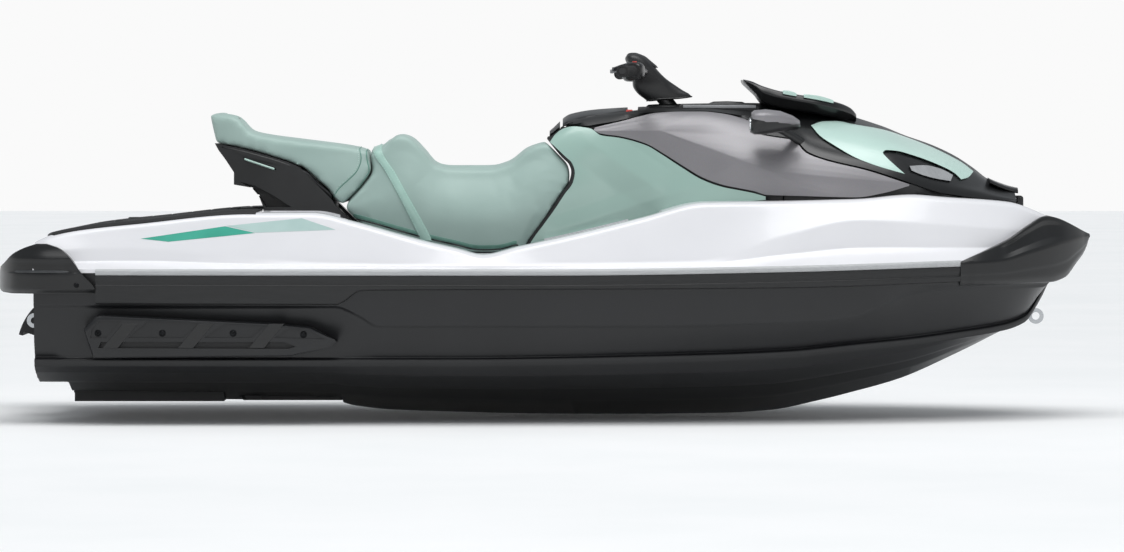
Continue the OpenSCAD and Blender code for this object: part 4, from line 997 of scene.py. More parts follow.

# ---- Hood panels ----
# Pale mint caps on each side of the hood, with a hooked front cut out round a black notch.
# They are thin mouldings clipped on proud of the black shell.
# The same pale mint also paints the highlight strips in the seat pedestal's slots.
pale_mint_and_highlight_paint, tree, where = material("lacquered_pale_mint_and_painted_highlight", Roughness=0.28, Coat_Weight=0.35,
                                   Coat_Roughness=0.12)
mottled(tree, where, "#B6D2C9", "#C1DBD2", 3.0)
mint_top = [(790, 889), (829, 901), (870, 902), (921, 893), (1013, 877), (1090, 853), (1167, 823),
            (1229, 793), (1266, 772), (1296, 748)]
mint_hook = [(1070, 742), (1044, 765), (1014, 794), (1005, 806), (1016, 814), (1046, 812), (1090, 801),
             (1167, 774), (1229, 744), (1250, 724)]
mint_low = [(1070, 742), (983, 767), (921, 791), (859, 827), (813, 859), (790, 889)]
mint_nose = [(1250, 724), (1274, 730), (1296, 748)]
mint = panel(blend_rows(mint_hook, mint_top, mint_low, mint_nose, 90, 26), 6,
             lambda x, h: 1.5 + fold(x, h, (800, 880), (1280, 742), 40, 5))
piece("hood_mint_panels", joined(mint, mirrored(mint)), pale_mint_and_highlight_paint, "front_hood", ["hood_panel"],
      bevel=1.5, smooth=45)

# ---- Hood vents ----
# Light grey grille inserts with shallow slats in the notch of each hood panel: a painted highlight
# across the black notch. The same grey plastic also makes the switch keys and the gauge bezel.
grey_plastic_and_vent_highlight, tree, where = material("light_grey_plastic_and_painted_highlight", IOR=1.52)
mottled(tree, where, "#8B8D8F", "#9A9C9E", 20.0, 3.0, (0.34, 0.48))
notch_highlight = panel(blend_rows([(1092, 752), (1128, 738), (1176, 726), (1214, 720)],
                        [(1086, 766), (1132, 768), (1182, 758), (1224, 738)],
                        [(1092, 752), (1086, 766)], [(1214, 720), (1224, 738)], 60, 10), 6,
             lambda x, h: 1.0 + 1.6 * abs(math.sin(math.pi * (x + 0.6 * h) / 16)))
piece("hood_vent_highlights", joined(notch_highlight, mirrored(notch_highlight)), grey_plastic_and_vent_highlight, "front_hood",
      ["hood_vents"], smooth=50)

# ---- Wind deflector ----
# A black winglet across the hood that climbs back to a sharp trailing edge, ahead of the
# gauge. Two small mint blades are let in to each side of its top.
wing_top = fair([(588, 1031), (613, 1025), (644, 1011), (705, 993), (829, 971), (890, 956), (921, 942),
                 (936, 926)])
wing_low = fair([(588, 1022), (607, 1004), (628, 984), (644, 962), (690, 944), (800, 925), (936, 892)])
wing_half = fair([(588, 132), (640, 158), (700, 178), (800, 172), (860, 148), (936, 66)])


def wing_frame(x):
    t, b, w = wing_top(x), wing_low(x), wing_half(x)
    dish = 7 * (1 - fade(x, 700, 860))
    return both_halves(rounded([(0, b - dish, 0), (w - 26, b, 10), (w + 6, 0.4 * b + 0.6 * t, 5),
                                (w - 4, t - 3, 5), (w - 34, t - 1, 10), (0, t - dish, 0)]), x)


wing = capped([wing_frame(x) for x in spread(588, 936, 8)])
piece("wind_deflector", wing, moulded_abs, "front_hood", ["deflector"], bevel=1.2, smooth=40)
blades = []
for start, end in ((706, 748), (770, 862)):
    rows = []
    for x in spread(start, end, 6):
        t = (x - start) / (end - start)
        w, top = wing_half(x), wing_top(x)
        tall = 5 * math.sin(math.pi * min(1, 0.15 + 0.85 * t) * 0.9) + 1.5
        rows.append([at(x, y, h) for y, h in ((w - 2, top - 8), (w + 4, top - 8), (w + 2, top - 2 + tall),
                                              (w - 5, top - 1 + tall))])
    blades.append(capped(rows))
blade = joined(*blades)
piece("deflector_blades", joined(blade, mirrored(blade)), pale_mint_and_highlight_paint, "front_hood", bevel=1.0)

# ---- Gauge ----
# A hooded display on the console ahead of the bars: a moulded case, a smoked cover and a
# thin pale bezel along its base.
def boxed_rows(stations):
    """Loops for a softly rounded case from (x, half width, low, high, corner radius) stations."""
    rows = []
    for x, w, low, high, r in stations:
        rows.append(both_halves(rounded([(0, low, 0), (w, low, r), (w, high, r), (0, high, 0)], 5), x))
    return capped(rows)


gauge_case = boxed_rows([(468, 84, 930, 944, 6), (474, 92, 928, 952, 10), (500, 95, 926, 962, 14),
                         (540, 95, 926, 963, 14), (586, 92, 926, 961, 14), (603, 84, 928, 954, 10),
                         (606, 76, 930, 948, 6)])
rail_rows = [[at(x, y, h) for y, h in ((102, 924), (117, 924), (117, 953 + rise), (114, 957 + rise),
                                       (102, 957 + rise))]
             for x, rise in ((392, -8), (400, -2), (520, 0), (620, -2), (636, -8))]
gauge_case = joined(gauge_case, capped(rail_rows), mirrored(capped(rail_rows)))
piece("gauge_case", gauge_case, moulded_nylon, "craft", ["gauge"], bevel=1.0, smooth=40)
# Smoked polycarbonate: almost black and mirror smooth.
smoked, tree, where = material("smoked_polycarbonate", Roughness=0.06, IOR=1.58, Coat_Weight=0.4,
                               Coat_Roughness=0.03)
mottled(tree, where, "#08090A", "#0D0E10", 60.0)
screen = capped([[at(x, y, h) for x, h in ((466, 934), (472, 951), (477, 950), (471, 933))]
                 for y in (-80, 80)])
piece("gauge_screen", screen, smoked, "craft", bevel=1.5)
bezel_rows = [[at(x, y, h) for y, h in ((112, 941), (119.5, 941), (120.5, 946), (119.5, 951), (112, 951))]
              for x in spread(404, 626, 12)]
bezel = capped(bezel_rows)
piece("console_pale_trim", joined(bezel, mirrored(bezel)), grey_plastic_and_vent_highlight, "craft", bevel=1.2)

# ---- Mirrors ----
# A folded mirror each side on a short stalk: a black housing, a glossy grey cap over its
# outer face and the glass facing aft.
def blob(rings, count=28):
    """A closed soft body through (centre, half width, half height, squareness) rings across x."""
    rows = []
    for centre, a, b, square in rings:
        rows.append([centre + Vector((0, math.copysign(abs(math.cos(t)) ** square, math.cos(t)) * a / 1000,
                                      math.copysign(abs(math.sin(t)) ** square, math.sin(t)) * b / 1000))
                     for t in [2 * math.pi * k / count for k in range(count)]])
    return capped(rows)


MIRROR_Y = 350
housing = blob([(at(598, MIRROR_Y + 30, 890), 46, 10, 0.7), (at(601, MIRROR_Y + 30, 891), 64, 24, 0.6),
                (at(612, MIRROR_Y + 31, 893), 72, 32, 0.6), (at(640, MIRROR_Y + 30, 896), 68, 35, 0.7),
                (at(680, MIRROR_Y + 24, 898), 54, 31, 0.8), (at(715, MIRROR_Y + 14, 896), 38, 24, 0.9),
                (at(742, MIRROR_Y + 4, 890), 22, 14, 1.0), (at(752, MIRROR_Y, 887), 8, 5, 1.0)])
stalk = blob([(at(672, MIRROR_Y - 4, 884), 16, 12, 1.0), (at(700, MIRROR_Y - 22, 872), 17, 13, 1.0),
              (at(735, MIRROR_Y - 48, 852), 17, 15, 1.0), (at(768, MIRROR_Y - 74, 830), 18, 18, 1.0),
              (at(784, MIRROR_Y - 84, 816), 16, 16, 1.0)])
mirror = joined(housing, stalk)
piece("mirror_housings", joined(mirror, mirrored(mirror)), moulded_abs, "craft", ["mirrors"],
      smooth=60)
cap_rings = blob([(at(604, MIRROR_Y + 34, 906), 58, 22, 0.7), (at(612, MIRROR_Y + 34, 907), 68, 27, 0.7),
                  (at(645, MIRROR_Y + 33, 909), 65, 28, 0.8), (at(690, MIRROR_Y + 26, 908), 50, 24, 0.9),
                  (at(728, MIRROR_Y + 16, 902), 32, 16, 1.0), (at(750, MIRROR_Y + 8, 896), 12, 7, 1.0)])
piece("mirror_caps", joined(cap_rings, mirrored(cap_rings)), metallic, "craft", smooth=60)
# Mirror glass: silvered behind, so it is fully metallic and almost perfectly smooth.
silvered, tree, where = material("silvered_glass", Metallic=1.0, Roughness=0.03)
mottled(tree, where, "#D6DADC", "#E2E6E8", 8.0)
glass = blob([(at(596.4, MIRROR_Y + 30, 892), 55, 19, 0.6), (at(597.6, MIRROR_Y + 30, 892), 56, 20, 0.6),
              (at(602, MIRROR_Y + 30, 892), 56, 20, 0.6)])
piece("mirror_glasses", joined(glass, mirrored(glass)), silvered, "craft", smooth=30)

# ---- Glovebox lid ----
# A black lid on the dash, hinged ahead, with a shallow finger scoop at its aft edge and a
# red pull tab.
def lid_frame(x):
    line = [(y, h) for y, h in section(x) if y < GLOVE_HALF and h > 886]
    top = crown_h(x)
    line = ([(GLOVE_HALF, 886.5), (GLOVE_HALF, max(889, line[0][1] - 2 if line else top))]
            + line[1:] + [(0, top)])
    return both_halves(smooth_line([(0, 886.5)] + line, 27, sharp=True), x)


lid = capped([lid_frame(x) for x in spread(36, 236, 6)])
hinge_low = box_part((220, -92, 890), (248, 92, 904))
barrel = turned([(-101, 4.2), (-100, 5), (-96, 5), (-96, 9), (96, 9), (96, 5), (100, 5), (101, 4.2)],
                at(250, 0, 896), (0, 1, 0), 24)
piece("glovebox_lid_moulding", joined(lid, hinge_low, barrel), moulded_abs, "glovebox",
      ["glovebox_lid"], bevel=2.0, smooth=40)
cheek = capped([[at(x, y, h) for y, h in ((98, 884), (101.5, 884), (101.5, dash_line(x) - 12),
                                          (98, dash_line(x) - 11))]
                for x in spread(30, 272, 11)])
piece("dash_cheeks", joined(cheek, mirrored(cheek)), moulded_nylon, "craft", bevel=0.6)
# Moulded nylon in signal red, half matt.
red_nylon, tree, where = material("moulded_nylon_red", Roughness=0.4)
mottled(tree, where, "#B8322A", "#C63C32", 30.0)
tab_rows = [[at(x, y, h) for y, h in ((99, 896), (108, 898), (110, 905 + 24 * rise), (106, 911 + 26 * rise),
                                      (99, 911 + 26 * rise))]
            for x, rise in ((228, 0.7), (231, 1), (249, 1), (252, 0.7))]
tab = capped(tab_rows)
piece("lanyard_clip", joined(tab, mirrored(tab)), red_nylon, "craft", bevel=3)

# ---- Saddle ----
# A moulded foam seat in coated vinyl. The driver sits in a dip behind the bars with a raised
# roll at their back, and the passenger's place climbs behind it to a tall tail.
saddle_top = fair([(-1050, 933), (-995, 931), (-964, 922), (-912, 874), (-850, 861), (-773, 851), (-619, 831),
                   (-551, 819), (-511, 832), (-478, 866), (-458, 871), (-438, 866), (-388, 819), (-351, 777),
                   (-311, 768), (-188, 768), (-126, 783), (-65, 829), (-20, 846), (70, 852)])
saddle_in = fair([(-1050, 84), (-964, 128), (-850, 158), (-619, 158), (-474, 156), (-311, 126), (-126, 130),
                  (70, 132)])
saddle_out = fair([(-1050, 110), (-964, 156), (-850, 186), (-619, 200), (-311, 208), (70, 202)])
roll_edge = fair([(500, -240), (600, -282), (665, -304), (710, -326), (760, -355), (815, -402), (870, -446)])


def saddle_frame(x):
    t, a, b = saddle_top(x) - 4, saddle_in(x) - 4, saddle_out(x) - 4
    wide = a + 0.75 * max(0, 152 - a) * fade(x, -620, -470) * (1 - fade(x, -160, -20))
    half = [(0, 503, 0), (b, 503, 0)]
    for k in range(1, 17):
        deep = 0.98 - 0.92 * k / 17
        h = t - deep * (t - 503)
        past = max(0, x - roll_edge(h))
        top = wide + (a - wide) * (1 - math.exp(-past / 22)) if past else wide
        half.append((top + (b - top) * (1 - max(0, 1 - deep / 0.66) ** 1.7), h, 0))
    return both_halves(rounded(half + [(half[-1][0] - 3, t - 6, 13), (0, t, 0)], 4), x)


def prism(outline, reach=260):
    """An upright slab whose outline is (x, h) points, reaching to both sides."""
    return capped([[at(x, y, h) for x, h in outline] for y in (-reach, reach)])


# Marine vinyl: mint, matt and slightly warm, with a fine leather grain and a faint bloom.
vinyl, tree, where = material("marine_vinyl_mint", IOR=1.48, Sheen_Weight=0.15, Sheen_Roughness=0.5)
mottled(tree, where, "#97AFA8", "#A1B8B1", 5.0, 4.0, (0.46, 0.58))
grain = add(tree, "ShaderNodeTexVoronoi", {"Vector": where, "Scale": 340.0, "Randomness": 0.9})
crease = add(tree, "ShaderNodeTexNoise", {"Vector": where, "Scale": 26.0, "Detail": 3.0})
rough_top = add(tree, "ShaderNodeMath", {0: grain.outputs["Distance"], 1: crease}, operation="ADD")
feed(tree, Normal=add(tree, "ShaderNodeBump", {"Height": rough_top, "Strength": 0.16, "Distance": 0.0008}))
# Welt vinyl: the same cloth in a deeper green, stretched smooth over its cord.
welt_vinyl, tree, where = material("welt_vinyl_green", Roughness=0.42, IOR=1.48)
mottled(tree, where, "#5E8A7D", "#6A9588", 40.0, 3.0)
# Strap webbing: a satin band of the same green with a ribbed weave of 2 mm.
webbing, tree, where = material("strap_webbing_mint", Roughness=0.36, Sheen_Weight=0.1)
mottled(tree, where, "#9DC0B5", "#A9CBC0", 18.0)
rib = add(tree, "ShaderNodeTexWave", {"Vector": where, "Scale": 160.0, "Distortion": 0.4})
feed(tree, Normal=add(tree, "ShaderNodeBump", {"Height": rib, "Strength": 0.12, "Distance": 0.0006}))


def settle(cover, rounds):
    """Smooths a cover's creases out a little, in that many rounds."""
    soft = bmesh.new()
    soft.from_mesh(cover.data)
    for _ in range(rounds):
        bmesh.ops.smooth_vert(soft, verts=soft.verts, factor=0.5, use_axis_x=True, use_axis_y=True,
                              use_axis_z=True)
    soft.to_mesh(cover.data)
    soft.free()


def stuffed(cover, swell_by, grid_size):
    """Remeshes a cushion evenly, blows its cover out by at most swell_by mm and settles it."""
    even = cover.modifiers.new("even", "REMESH")
    even.mode, even.voxel_size, even.use_smooth_shade = "VOXEL", grid_size / 1000, True
    with bpy.context.temp_override(object=cover, active_object=cover, selected_objects=[cover]):
        bpy.ops.object.modifier_apply(modifier="even")
    settle(cover, 3)
    held = cover.vertex_groups.new(name="held")
    held.add([v.index for v in cover.data.vertices if v.co.z < KEEL + 0.515], 1.0, "REPLACE")
    cloth = cover.modifiers.new("stretch", "CLOTH")
    cloth.settings.use_pressure, cloth.settings.uniform_pressure_force = True, 4.0
    cloth.settings.effector_weights.gravity = 0.0
    cloth.settings.vertex_group_mass = "held"
    cloth.settings.quality = 4
    rest = [v.co.copy() for v in cover.data.vertices]
    for step in range(1, 21):
        bpy.context.scene.frame_set(step)
    blown = cover.evaluated_get(bpy.context.evaluated_depsgraph_get()).data
    places = []
    for old, v in zip(rest, blown.vertices):
        move = v.co - old
        if move.length > swell_by / 1000:
            move = move.normalized() * swell_by / 1000
        places.append(old + move)
    cover.modifiers.remove(cloth)
    bpy.context.scene.frame_set(1)
    for v, place in zip(cover.data.vertices, places):
        v.co = place
    settle(cover, 1)
    finer = cover.modifiers.new("finer", "SUBSURF")
    finer.levels = finer.render_levels = 1
    cover.data.shade_smooth()


rows = [saddle_frame(x) for x in spread(-1050, 66, 9)]
seam_side = [(-553, 960), (-553, 788), (-544, 751), (-559, 727), (-590, 690), (-621, 659), (-638, 632)]
driver_side = [(x + 4, h) for x, h in seam_side]
seat_under = [(-1026, 838), (-958, 825), (-896, 810), (-804, 782), (-742, 755), (-711, 724), (-681, 702),
              (-650, 657)]
lift_line = [(-758, 770), (-398, 410), (-398, 300), (-900, 300), (-900, 770)]
nose_side = [(-84, 500), (-66, 536), (-26, 591), (3, 634), (32, 681), (55, 715), (60, 745), (52, 773),
             (30, 795), (-16, 842)]
driver = piece("driver_cushion", capped(rows), vinyl, "saddle", ["driver_seat"])
cut(driver, prism(driver_side + [(-634, 500)] + nose_side + [(-16, 960)]), how="INTERSECT")
cut(driver, prism(lift_line))
stuffed(driver, 3.0, 9)
passenger = piece("passenger_cushion", capped(rows), vinyl, "saddle", ["passenger_seat"])
cut(passenger, prism([(-1049, 960), (-1049, 934)] + seat_under + list(reversed(seam_side))), how="INTERSECT")
cut(passenger, prism([(x, h - 2) for x, h in lift_line]))
cut(passenger, prism([(-998, 960), (-984, 884), (-952, 884), (-948, 960)], 66))
stuffed(passenger, 3.0, 9)

# ---- Seams and strap ----
# Welt cords run along the seat's lower edge and round the passenger's pad, with a broad
# stretch strap over the step between the two places.
def cover_spot(cover, line, angle, lift=0.0, middle=700):
    """The spot on a cushion at an angle round its inside (0 to port, 90 up), where x follows line(h)."""
    aim, h = Vector((0, math.cos(math.radians(angle)), math.sin(math.radians(angle)))), 760
    for _ in range(5):
        hit, spot, out, _ = cover.ray_cast(at(line(h), 0, middle), aim)
        if not hit:
            return None
        h = 1000 * (spot.z - KEEL)
    return spot + out * lift / 1000


def side_spot(cover, x, h, lift=0.0):
    """The spot on a cushion's port side at (x, h), lifted off it."""
    hit, spot, out, _ = cover.ray_cast(at(x, 0, h), Vector((0, 1, 0)))
    return spot + out * lift / 1000 if hit else None


def tube(points, radius, sides=8):
    """A round bar through points; radius is one number or one for each point."""
    rows, side = [], None
    for i, spot in enumerate(points):
        ahead = (points[min(i + 1, len(points) - 1)] - points[max(i - 1, 0)]).normalized()
        side = ahead.orthogonal() if side is None else side - ahead * side.dot(ahead)
        side.normalize()
        r = (radius[i] if isinstance(radius, (list, tuple)) else radius) / 1000
        rows.append([spot + (side * math.cos(a) + ahead.cross(side) * math.sin(a)) * r
                     for a in [2 * math.pi * k / sides for k in range(sides)]])
    return capped(rows)


def smooth_path(corners, step=8):
    """Points every step mm or so along a fair curve through corners."""
    run = [0.0]
    for p, q in zip(corners, corners[1:]):
        run.append(run[-1] + (q - p).length)
    axes = [fair(list(zip(run, [p[k] for p in corners]))) for k in range(3)]
    count = max(2, round(run[-1] * 1000 / step))
    return [Vector([a(run[-1] * i / count) for a in axes]) for i in range(count + 1)]


deck_edge = fair([(-650, 618), (-588, 603), (-527, 587), (-465, 569), (-373, 544), (-280, 523), (-234, 512),
                  (-203, 510), (-157, 512), (-110, 524)])
welts, threads = [], []
hem = [[side_spot(driver, x, deck_edge(x) + rise, lift)
        for rise, lift in ((3, -3), (3, 1.2), (8, 2.6), (14, 1.2), (15, -3))]
       for x in spread(-618, -104, 9)]
hem = capped([row for row in hem if all(row)])
foot = [side_spot(driver, x, deck_edge(x) + 1, 1.5) for x in spread(-618, -100, 9)]
foot = tube([p for p in foot if p], 2.2, 6)
seam_line = fair([(600, -652), (659, -628), (690, -598), (727, -568), (751, -554), (788, -561), (822, -564),
                  (860, -566)])
pad_line = fair([(600, -690), (690, -650), (727, -612), (751, -590), (788, -578), (822, -584), (860, -586)])
for line, radius, lift in ((seam_line, 2.0, 0.0), (pad_line, 1.6, 0.2)):
    run = [cover_spot(passenger, line, angle, lift, 780) for angle in spread(-40, 220, 2)]
    run = [p for p in run if p]
    welts.append(tube(run, radius, 6))
strap_line = fair([(520, -368), (556, -386), (640, -430), (740, -485), (819, -530), (860, -531)])


def strap_edge(share):
    """Line along the strap: share runs from its aft edge at -1 to its fore edge at 1."""
    return lambda h: strap_line(h) + share * (17 - 3 * fade(h, 560, 700))


strap_rows = []
for angle in spread(-48, 228, 2.5):
    row = [cover_spot(driver, strap_edge(share), angle, lift)
           for share, lift in ((-1, -3), (-1, 2.6), (-0.7, 4.6), (0, 5.2), (0.7, 4.6), (1, 2.6), (1, -3))]
    if all(row) and row[3].z > KEEL + 0.53:
        strap_rows.append(row)
strap = capped(strap_rows)
piece("stretch_strap", strap, webbing, "saddle", ["seat_strap"], smooth=50)
for share in (-0.78, 0.78):
    run = [cover_spot(driver, strap_edge(share), angle, 5.2) for angle in spread(-40, 220, 1.1)]
    run = [p for p in run if p and p.z > KEEL + 0.545]
    threads += [tube([run[i], run[i + 1]], 0.7, 6) for i in range(0, len(run) - 1, 2)]
run = [cover_spot(passenger, lambda h: pad_line(h) - 7, angle, 0.6, 780) for angle in spread(-30, 210, 1.1)]
run = [p for p in run if p]
threads += [tube([run[i], run[i + 1]], 0.7, 6) for i in range(0, len(run) - 1, 2)]
piece("seat_welts", joined(hem, mirrored(hem), *welts), welt_vinyl, "saddle", smooth=60)
piece("seat_foot_seals", joined(foot, mirrored(foot)), elastomer, "saddle", smooth=60)
# Polyester thread: pale mint and softly shiny.
thread, tree, where = material("polyester_thread_mint", Roughness=0.5, Sheen_Weight=0.3)
mottled(tree, where, "#B4D0C7", "#C2DCD3", 900.0)
piece("seat_stitches", joined(*threads), thread, "saddle", smooth=60)

gasket = smooth_path([at(x + 3, skin(x + 3, h) - 7, h) for x, h in seat_front if h < 836] + [at(-6, 60, 850)],
                     8)
gasket = tube(gasket, 6.5, 8)
piece("seat_front_gaskets", joined(gasket, mirrored(gasket)), elastomer, "craft", smooth=60)

# ---- Tail grip ----
# A black moulded hand hold let into the tail, open underneath for the fingers.
grip_rows = []
for x in spread(-995, -952, 5):
    t = (x + 995) / 43
    top = saddle_top(x) - 10 - 5 * math.sin(math.pi * t)
    grip_rows.append(both_halves(rounded([(0, 886 if t > 0.32 else 900, 0), (60, 886 if t > 0.32 else 900, 5),
                                          (58, top - 3, 8), (0, top + 2, 0)]), x))
grip_block = capped(grip_rows)
bar = tube([at(-962, y, 906 - 8 * (y / 62) ** 2) for y in spread(-62, 62, 8)], 7, 12)
piece("tail_hand_hold", joined(grip_block, bar), moulded_abs, "saddle", ["tail_grip"],
      bevel=1.5, smooth=50)

# ---- Seat pedestal ----
# The black moulding that carries the passenger's pad: a swept upper band, a slot under it
# with a painted highlight laid in it, and a hollow triangle each side.
stem_rows = [saddle_frame(x) for x in spread(-1045, -646, 10)]
pedestal = piece("seat_pedestal_moulding", capped(stem_rows), moulded_nylon, "craft",
                 ["seat_pedestal"], bevel=1.8, smooth=40)
PAD_REST = [(-1028, 834), (-958, 821), (-896, 806), (-804, 778), (-742, 751), (-711, 720), (-681, 698)]
cut(pedestal, prism(PAD_REST + [(-660, 652), (-650, 560), (-870, 560), (-875, 638), (-890, 675), (-912, 699),
                                (-967, 708), (-967, 745), (-992, 782), (-1016, 813)]), how="INTERSECT")
# it ends ahead in a slope that leaves room for the driver's pad
cut(pedestal, prism([(-762, 758), (-402, 398), (-402, 800), (-640, 800)]))
for side in (1, -1):
    hollow = [(-948, 716), (-905, 694), (-882, 664), (-868, 640), (-790, 640), (-846, 676), (-905, 706)]
    slit = [(-942, 793), (-926, 784), (-836, 751), (-838, 759), (-900, 781)]
    for outline, depth in ((hollow, 40), (slit, 14)):
        low, high = sorted((side * 260, side * (saddle_in(-890) + 8 - depth)))
        cut(pedestal, capped([[at(x, y, h) for x, h in outline] for y in (low, high)]))
# A pale mint strip in each slot is a painted highlight.
slot_highlight_rows = []
for x in spread(-934, -842, 8):
    h = 786 - 0.33 * (x + 934)
    y = saddle_in(x) + 7 + (saddle_out(x) - saddle_in(x)) * 0.3
    slot_highlight_rows.append([at(x, y + dy, h + dh) for dy, dh in ((-6, -3), (1, -3), (2.5, 0), (1, 3), (-6, 3))])
slot_highlight_strip = capped(slot_highlight_rows)
piece("pedestal_slot_highlights", joined(slot_highlight_strip, mirrored(slot_highlight_strip)), pale_mint_and_highlight_paint, "craft",
      smooth=40)
skirt = [(-664, 654), (-652, 643), (-574, 566), (-574, 540), (-664, 540)]
skirt = capped([[at(x, y, h) for x, h in skirt] for y in (120, 193)])
pad_rest = fair(PAD_REST + [(-660, 676)])
band = []
for x in spread(-1008, -668, 10):
    wide = 30 * fade(x, -1028, -930) + 3
    y = saddle_in(x) - 4 + (saddle_out(x) - saddle_in(x)) * 0.30
    band.append([at(x, y + dy, pad_rest(x) - 4 - down * wide)
                 for dy, down in ((-26, 0), (4, 0), (8.5, 0.12), (7.5, 0.55), (2, 1), (-26, 1))])
band = capped(band)
piece("pedestal_side_bands", joined(skirt, mirrored(skirt), band, mirrored(band)), moulded_abs, "craft",
      bevel=1.5, smooth=50)

# ---- Steering ----
# A swept tubular bar on a tilted column. A padded shroud covers the clamp and the column,
# and each end has a ribbed rubber grip, a switch pod and a small lever.
COLUMN_LEN = 142
CLAMP = (COLUMN_X - COLUMN_LEN * math.sin(TILT), COLUMN_H + COLUMN_LEN * math.cos(TILT))
SWEEP_LEN, BAR_BACK, BAR_BEND = 260, 70, 130
SWEEP = math.atan2(BAR_BACK, SWEEP_LEN)
END_LEN = math.hypot(SWEEP_LEN, BAR_BACK)


def on_bar(side, ahead, up, along):
    """A point beside one swept end of the bar: ahead of it, above it and along it from the bend."""
    return at(CLAMP[0] + ahead * math.cos(SWEEP) - along * math.sin(SWEEP),
              side * (BAR_BEND + ahead * math.sin(SWEEP) + along * math.cos(SWEEP)), CLAMP[1] + up)


def along_bar(side):
    return on_bar(side, 0, 0, 1) - on_bar(side, 0, 0, 0)


# Powder-coated aluminium: satin black with a slight orange peel.
powder_coat, tree, where = material("powder_coated_aluminium_black", Roughness=0.38, Coat_Weight=0.15)
peel = mottled(tree, where, "#141516", "#1A1B1D", 400.0)
feed(tree, Normal=add(tree, "ShaderNodeBump", {"Height": peel, "Strength": 0.1, "Distance": 0.0004}))
centre_line = [on_bar(-1, 0, 0, d) for d in (END_LEN, 170, 80, 25)]
centre_line += [at(CLAMP[0], y, CLAMP[1]) for y in (-105, -50, 0, 50, 105)]
centre_line += [on_bar(1, 0, 0, d) for d in (25, 80, 170, END_LEN)]
piece("handlebar_tube", tube(smooth_path(centre_line, 8), 12, 20), powder_coat, "steering",
      ["handlebar"], smooth=50)
column_line = [(-16, 0.5), (-16, 22), (0, 22), (110, 22), (112, 20), (138, 20), (COLUMN_LEN, 12),
               (COLUMN_LEN, 0.5)]
post = turned(column_line, COLUMN_FOOT, column_axis, 32)
clamp = turned([(-32, 0.5), (-32, 17), (-31, 19), (31, 19), (32, 17), (32, 0.5)], at(CLAMP[0], 0, CLAMP[1]),
               (0, 1, 0), 32)
piece("steering_column_post", joined(post, clamp), powder_coat, "steering", ["column"],
      bevel=0.8)

# Grip rubber: soft black, finely stippled between its ribs.
grip_rubber, tree, where = material("grip_rubber_black", Roughness=0.78, IOR=1.5)
stipple = add(tree, "ShaderNodeTexVoronoi", {"Vector": where, "Scale": 800.0})
mottled(tree, where, "#151516", "#1C1C1D", 60.0)
feed(tree, Normal=add(tree, "ShaderNodeBump", {"Height": stipple, "Strength": 0.25, "Distance": 0.0005}))
grip_line = [(0, 0.5), (0, 24), (1.5, 25), (3.5, 25), (5, 24), (6, 17.5)]
for k in range(18):
    grip_line += [(8 + 6 * k, 16), (9.2 + 6 * k, 17), (12 + 6 * k, 17), (13.2 + 6 * k, 16)]
grip_line += [(119, 17), (120.5, 18.6), (127, 18.6), (129, 17.6), (130, 15), (130, 10), (127.5, 9),
              (127.5, 0.5)]
GRIP_LEN, POD_LEN = 130, 60
ends = [turned(grip_line, on_bar(side, 0, 0, END_LEN - GRIP_LEN), along_bar(side), 40) for side in (1, -1)]
piece("bar_grips", joined(*ends), grip_rubber, "steering", ["grips"], smooth=40)


def pod_loop(side, along, back, front, low, high):
    """A squarish loop round the bar between the given reaches, for a pod or a lever."""
    loop = []
    for k in range(24):
        a = 2 * math.pi * k / 24
        u, v = (math.copysign(abs(f(a)) ** 0.6, f(a)) for f in (math.cos, math.sin))
        loop.append(on_bar(side, (front + back) / 2 + u * (front - back) / 2,
                           (high + low) / 2 + v * (high - low) / 2, along))
    return loop


pods, keys, stops, blades = [], [], [], []
for side in (1, -1):
    start = END_LEN - GRIP_LEN - POD_LEN
    pods.append(capped([pod_loop(side, start + d, back, front, low, high) for d, back, front, low, high in (
        (0, -17, 17, -17, 17), (3, -25, 22, -22, 22), (8, -31, 25, -25, 26), (20, -33, 26, -27, 28),
        (40, -33, 26, -27, 28), (50, -30, 24, -24, 25), (55, -22, 20, -20, 20), (57, -16, 16, -16, 16))]))
    for d, up in ((14, 10), (30, 10), (22, -10)):
        keys.append(capped([pod_loop(side, start + d + e, back, -30, up - 5, up + 5)
                            for e, back in ((0, -35.2), (1.2, -36), (8.8, -36), (10, -35.2))]))
    stops.append(turned([(0, 0.5), (0, 7), (4, 7), (5, 6), (5, 0.5)], on_bar(side, -2, 26, start + 30),
                        (0, 0, 1), 24))
    path = [(start + 24, -26, 20), (start + 34, -34, 16), (start + 48, -41, 13), (start + 70, -44, 10),
            (start + 96, -44, 8), (start + 122, -42, 6), (start + 142, -41, 6), (start + 148, -39, 6)]
    halves = (7, 7.5, 7.5, 7, 6.5, 6.5, 6, 2.5)
    blades.append(capped([pod_loop(side, d, ahead - 3, ahead + 3, up - half, up + half)
                          for (d, ahead, up), half in zip(path, halves)]))
piece("bar_switch_pods", joined(*pods), moulded_abs, "steering", ["switch_pods"], smooth=45)
piece("bar_switch_keys", joined(*keys), grey_plastic_and_vent_highlight, "steering", smooth=45)
piece("bar_stop_buttons", joined(*stops), red_nylon, "steering", bevel=0.5)
# Cast aluminium: the lever blades, bead blasted and anodised dark grey.
anodised, tree, where = material("anodised_aluminium_grey", Metallic=0.9, Roughness=0.4)
blast = mottled(tree, where, "#4A4C50", "#575A5E", 600.0)
feed(tree, Normal=add(tree, "ShaderNodeBump", {"Height": blast, "Strength": 0.1, "Distance": 0.0004}))
piece("bar_levers", joined(*blades), anodised, "steering", ["levers"], smooth=50)

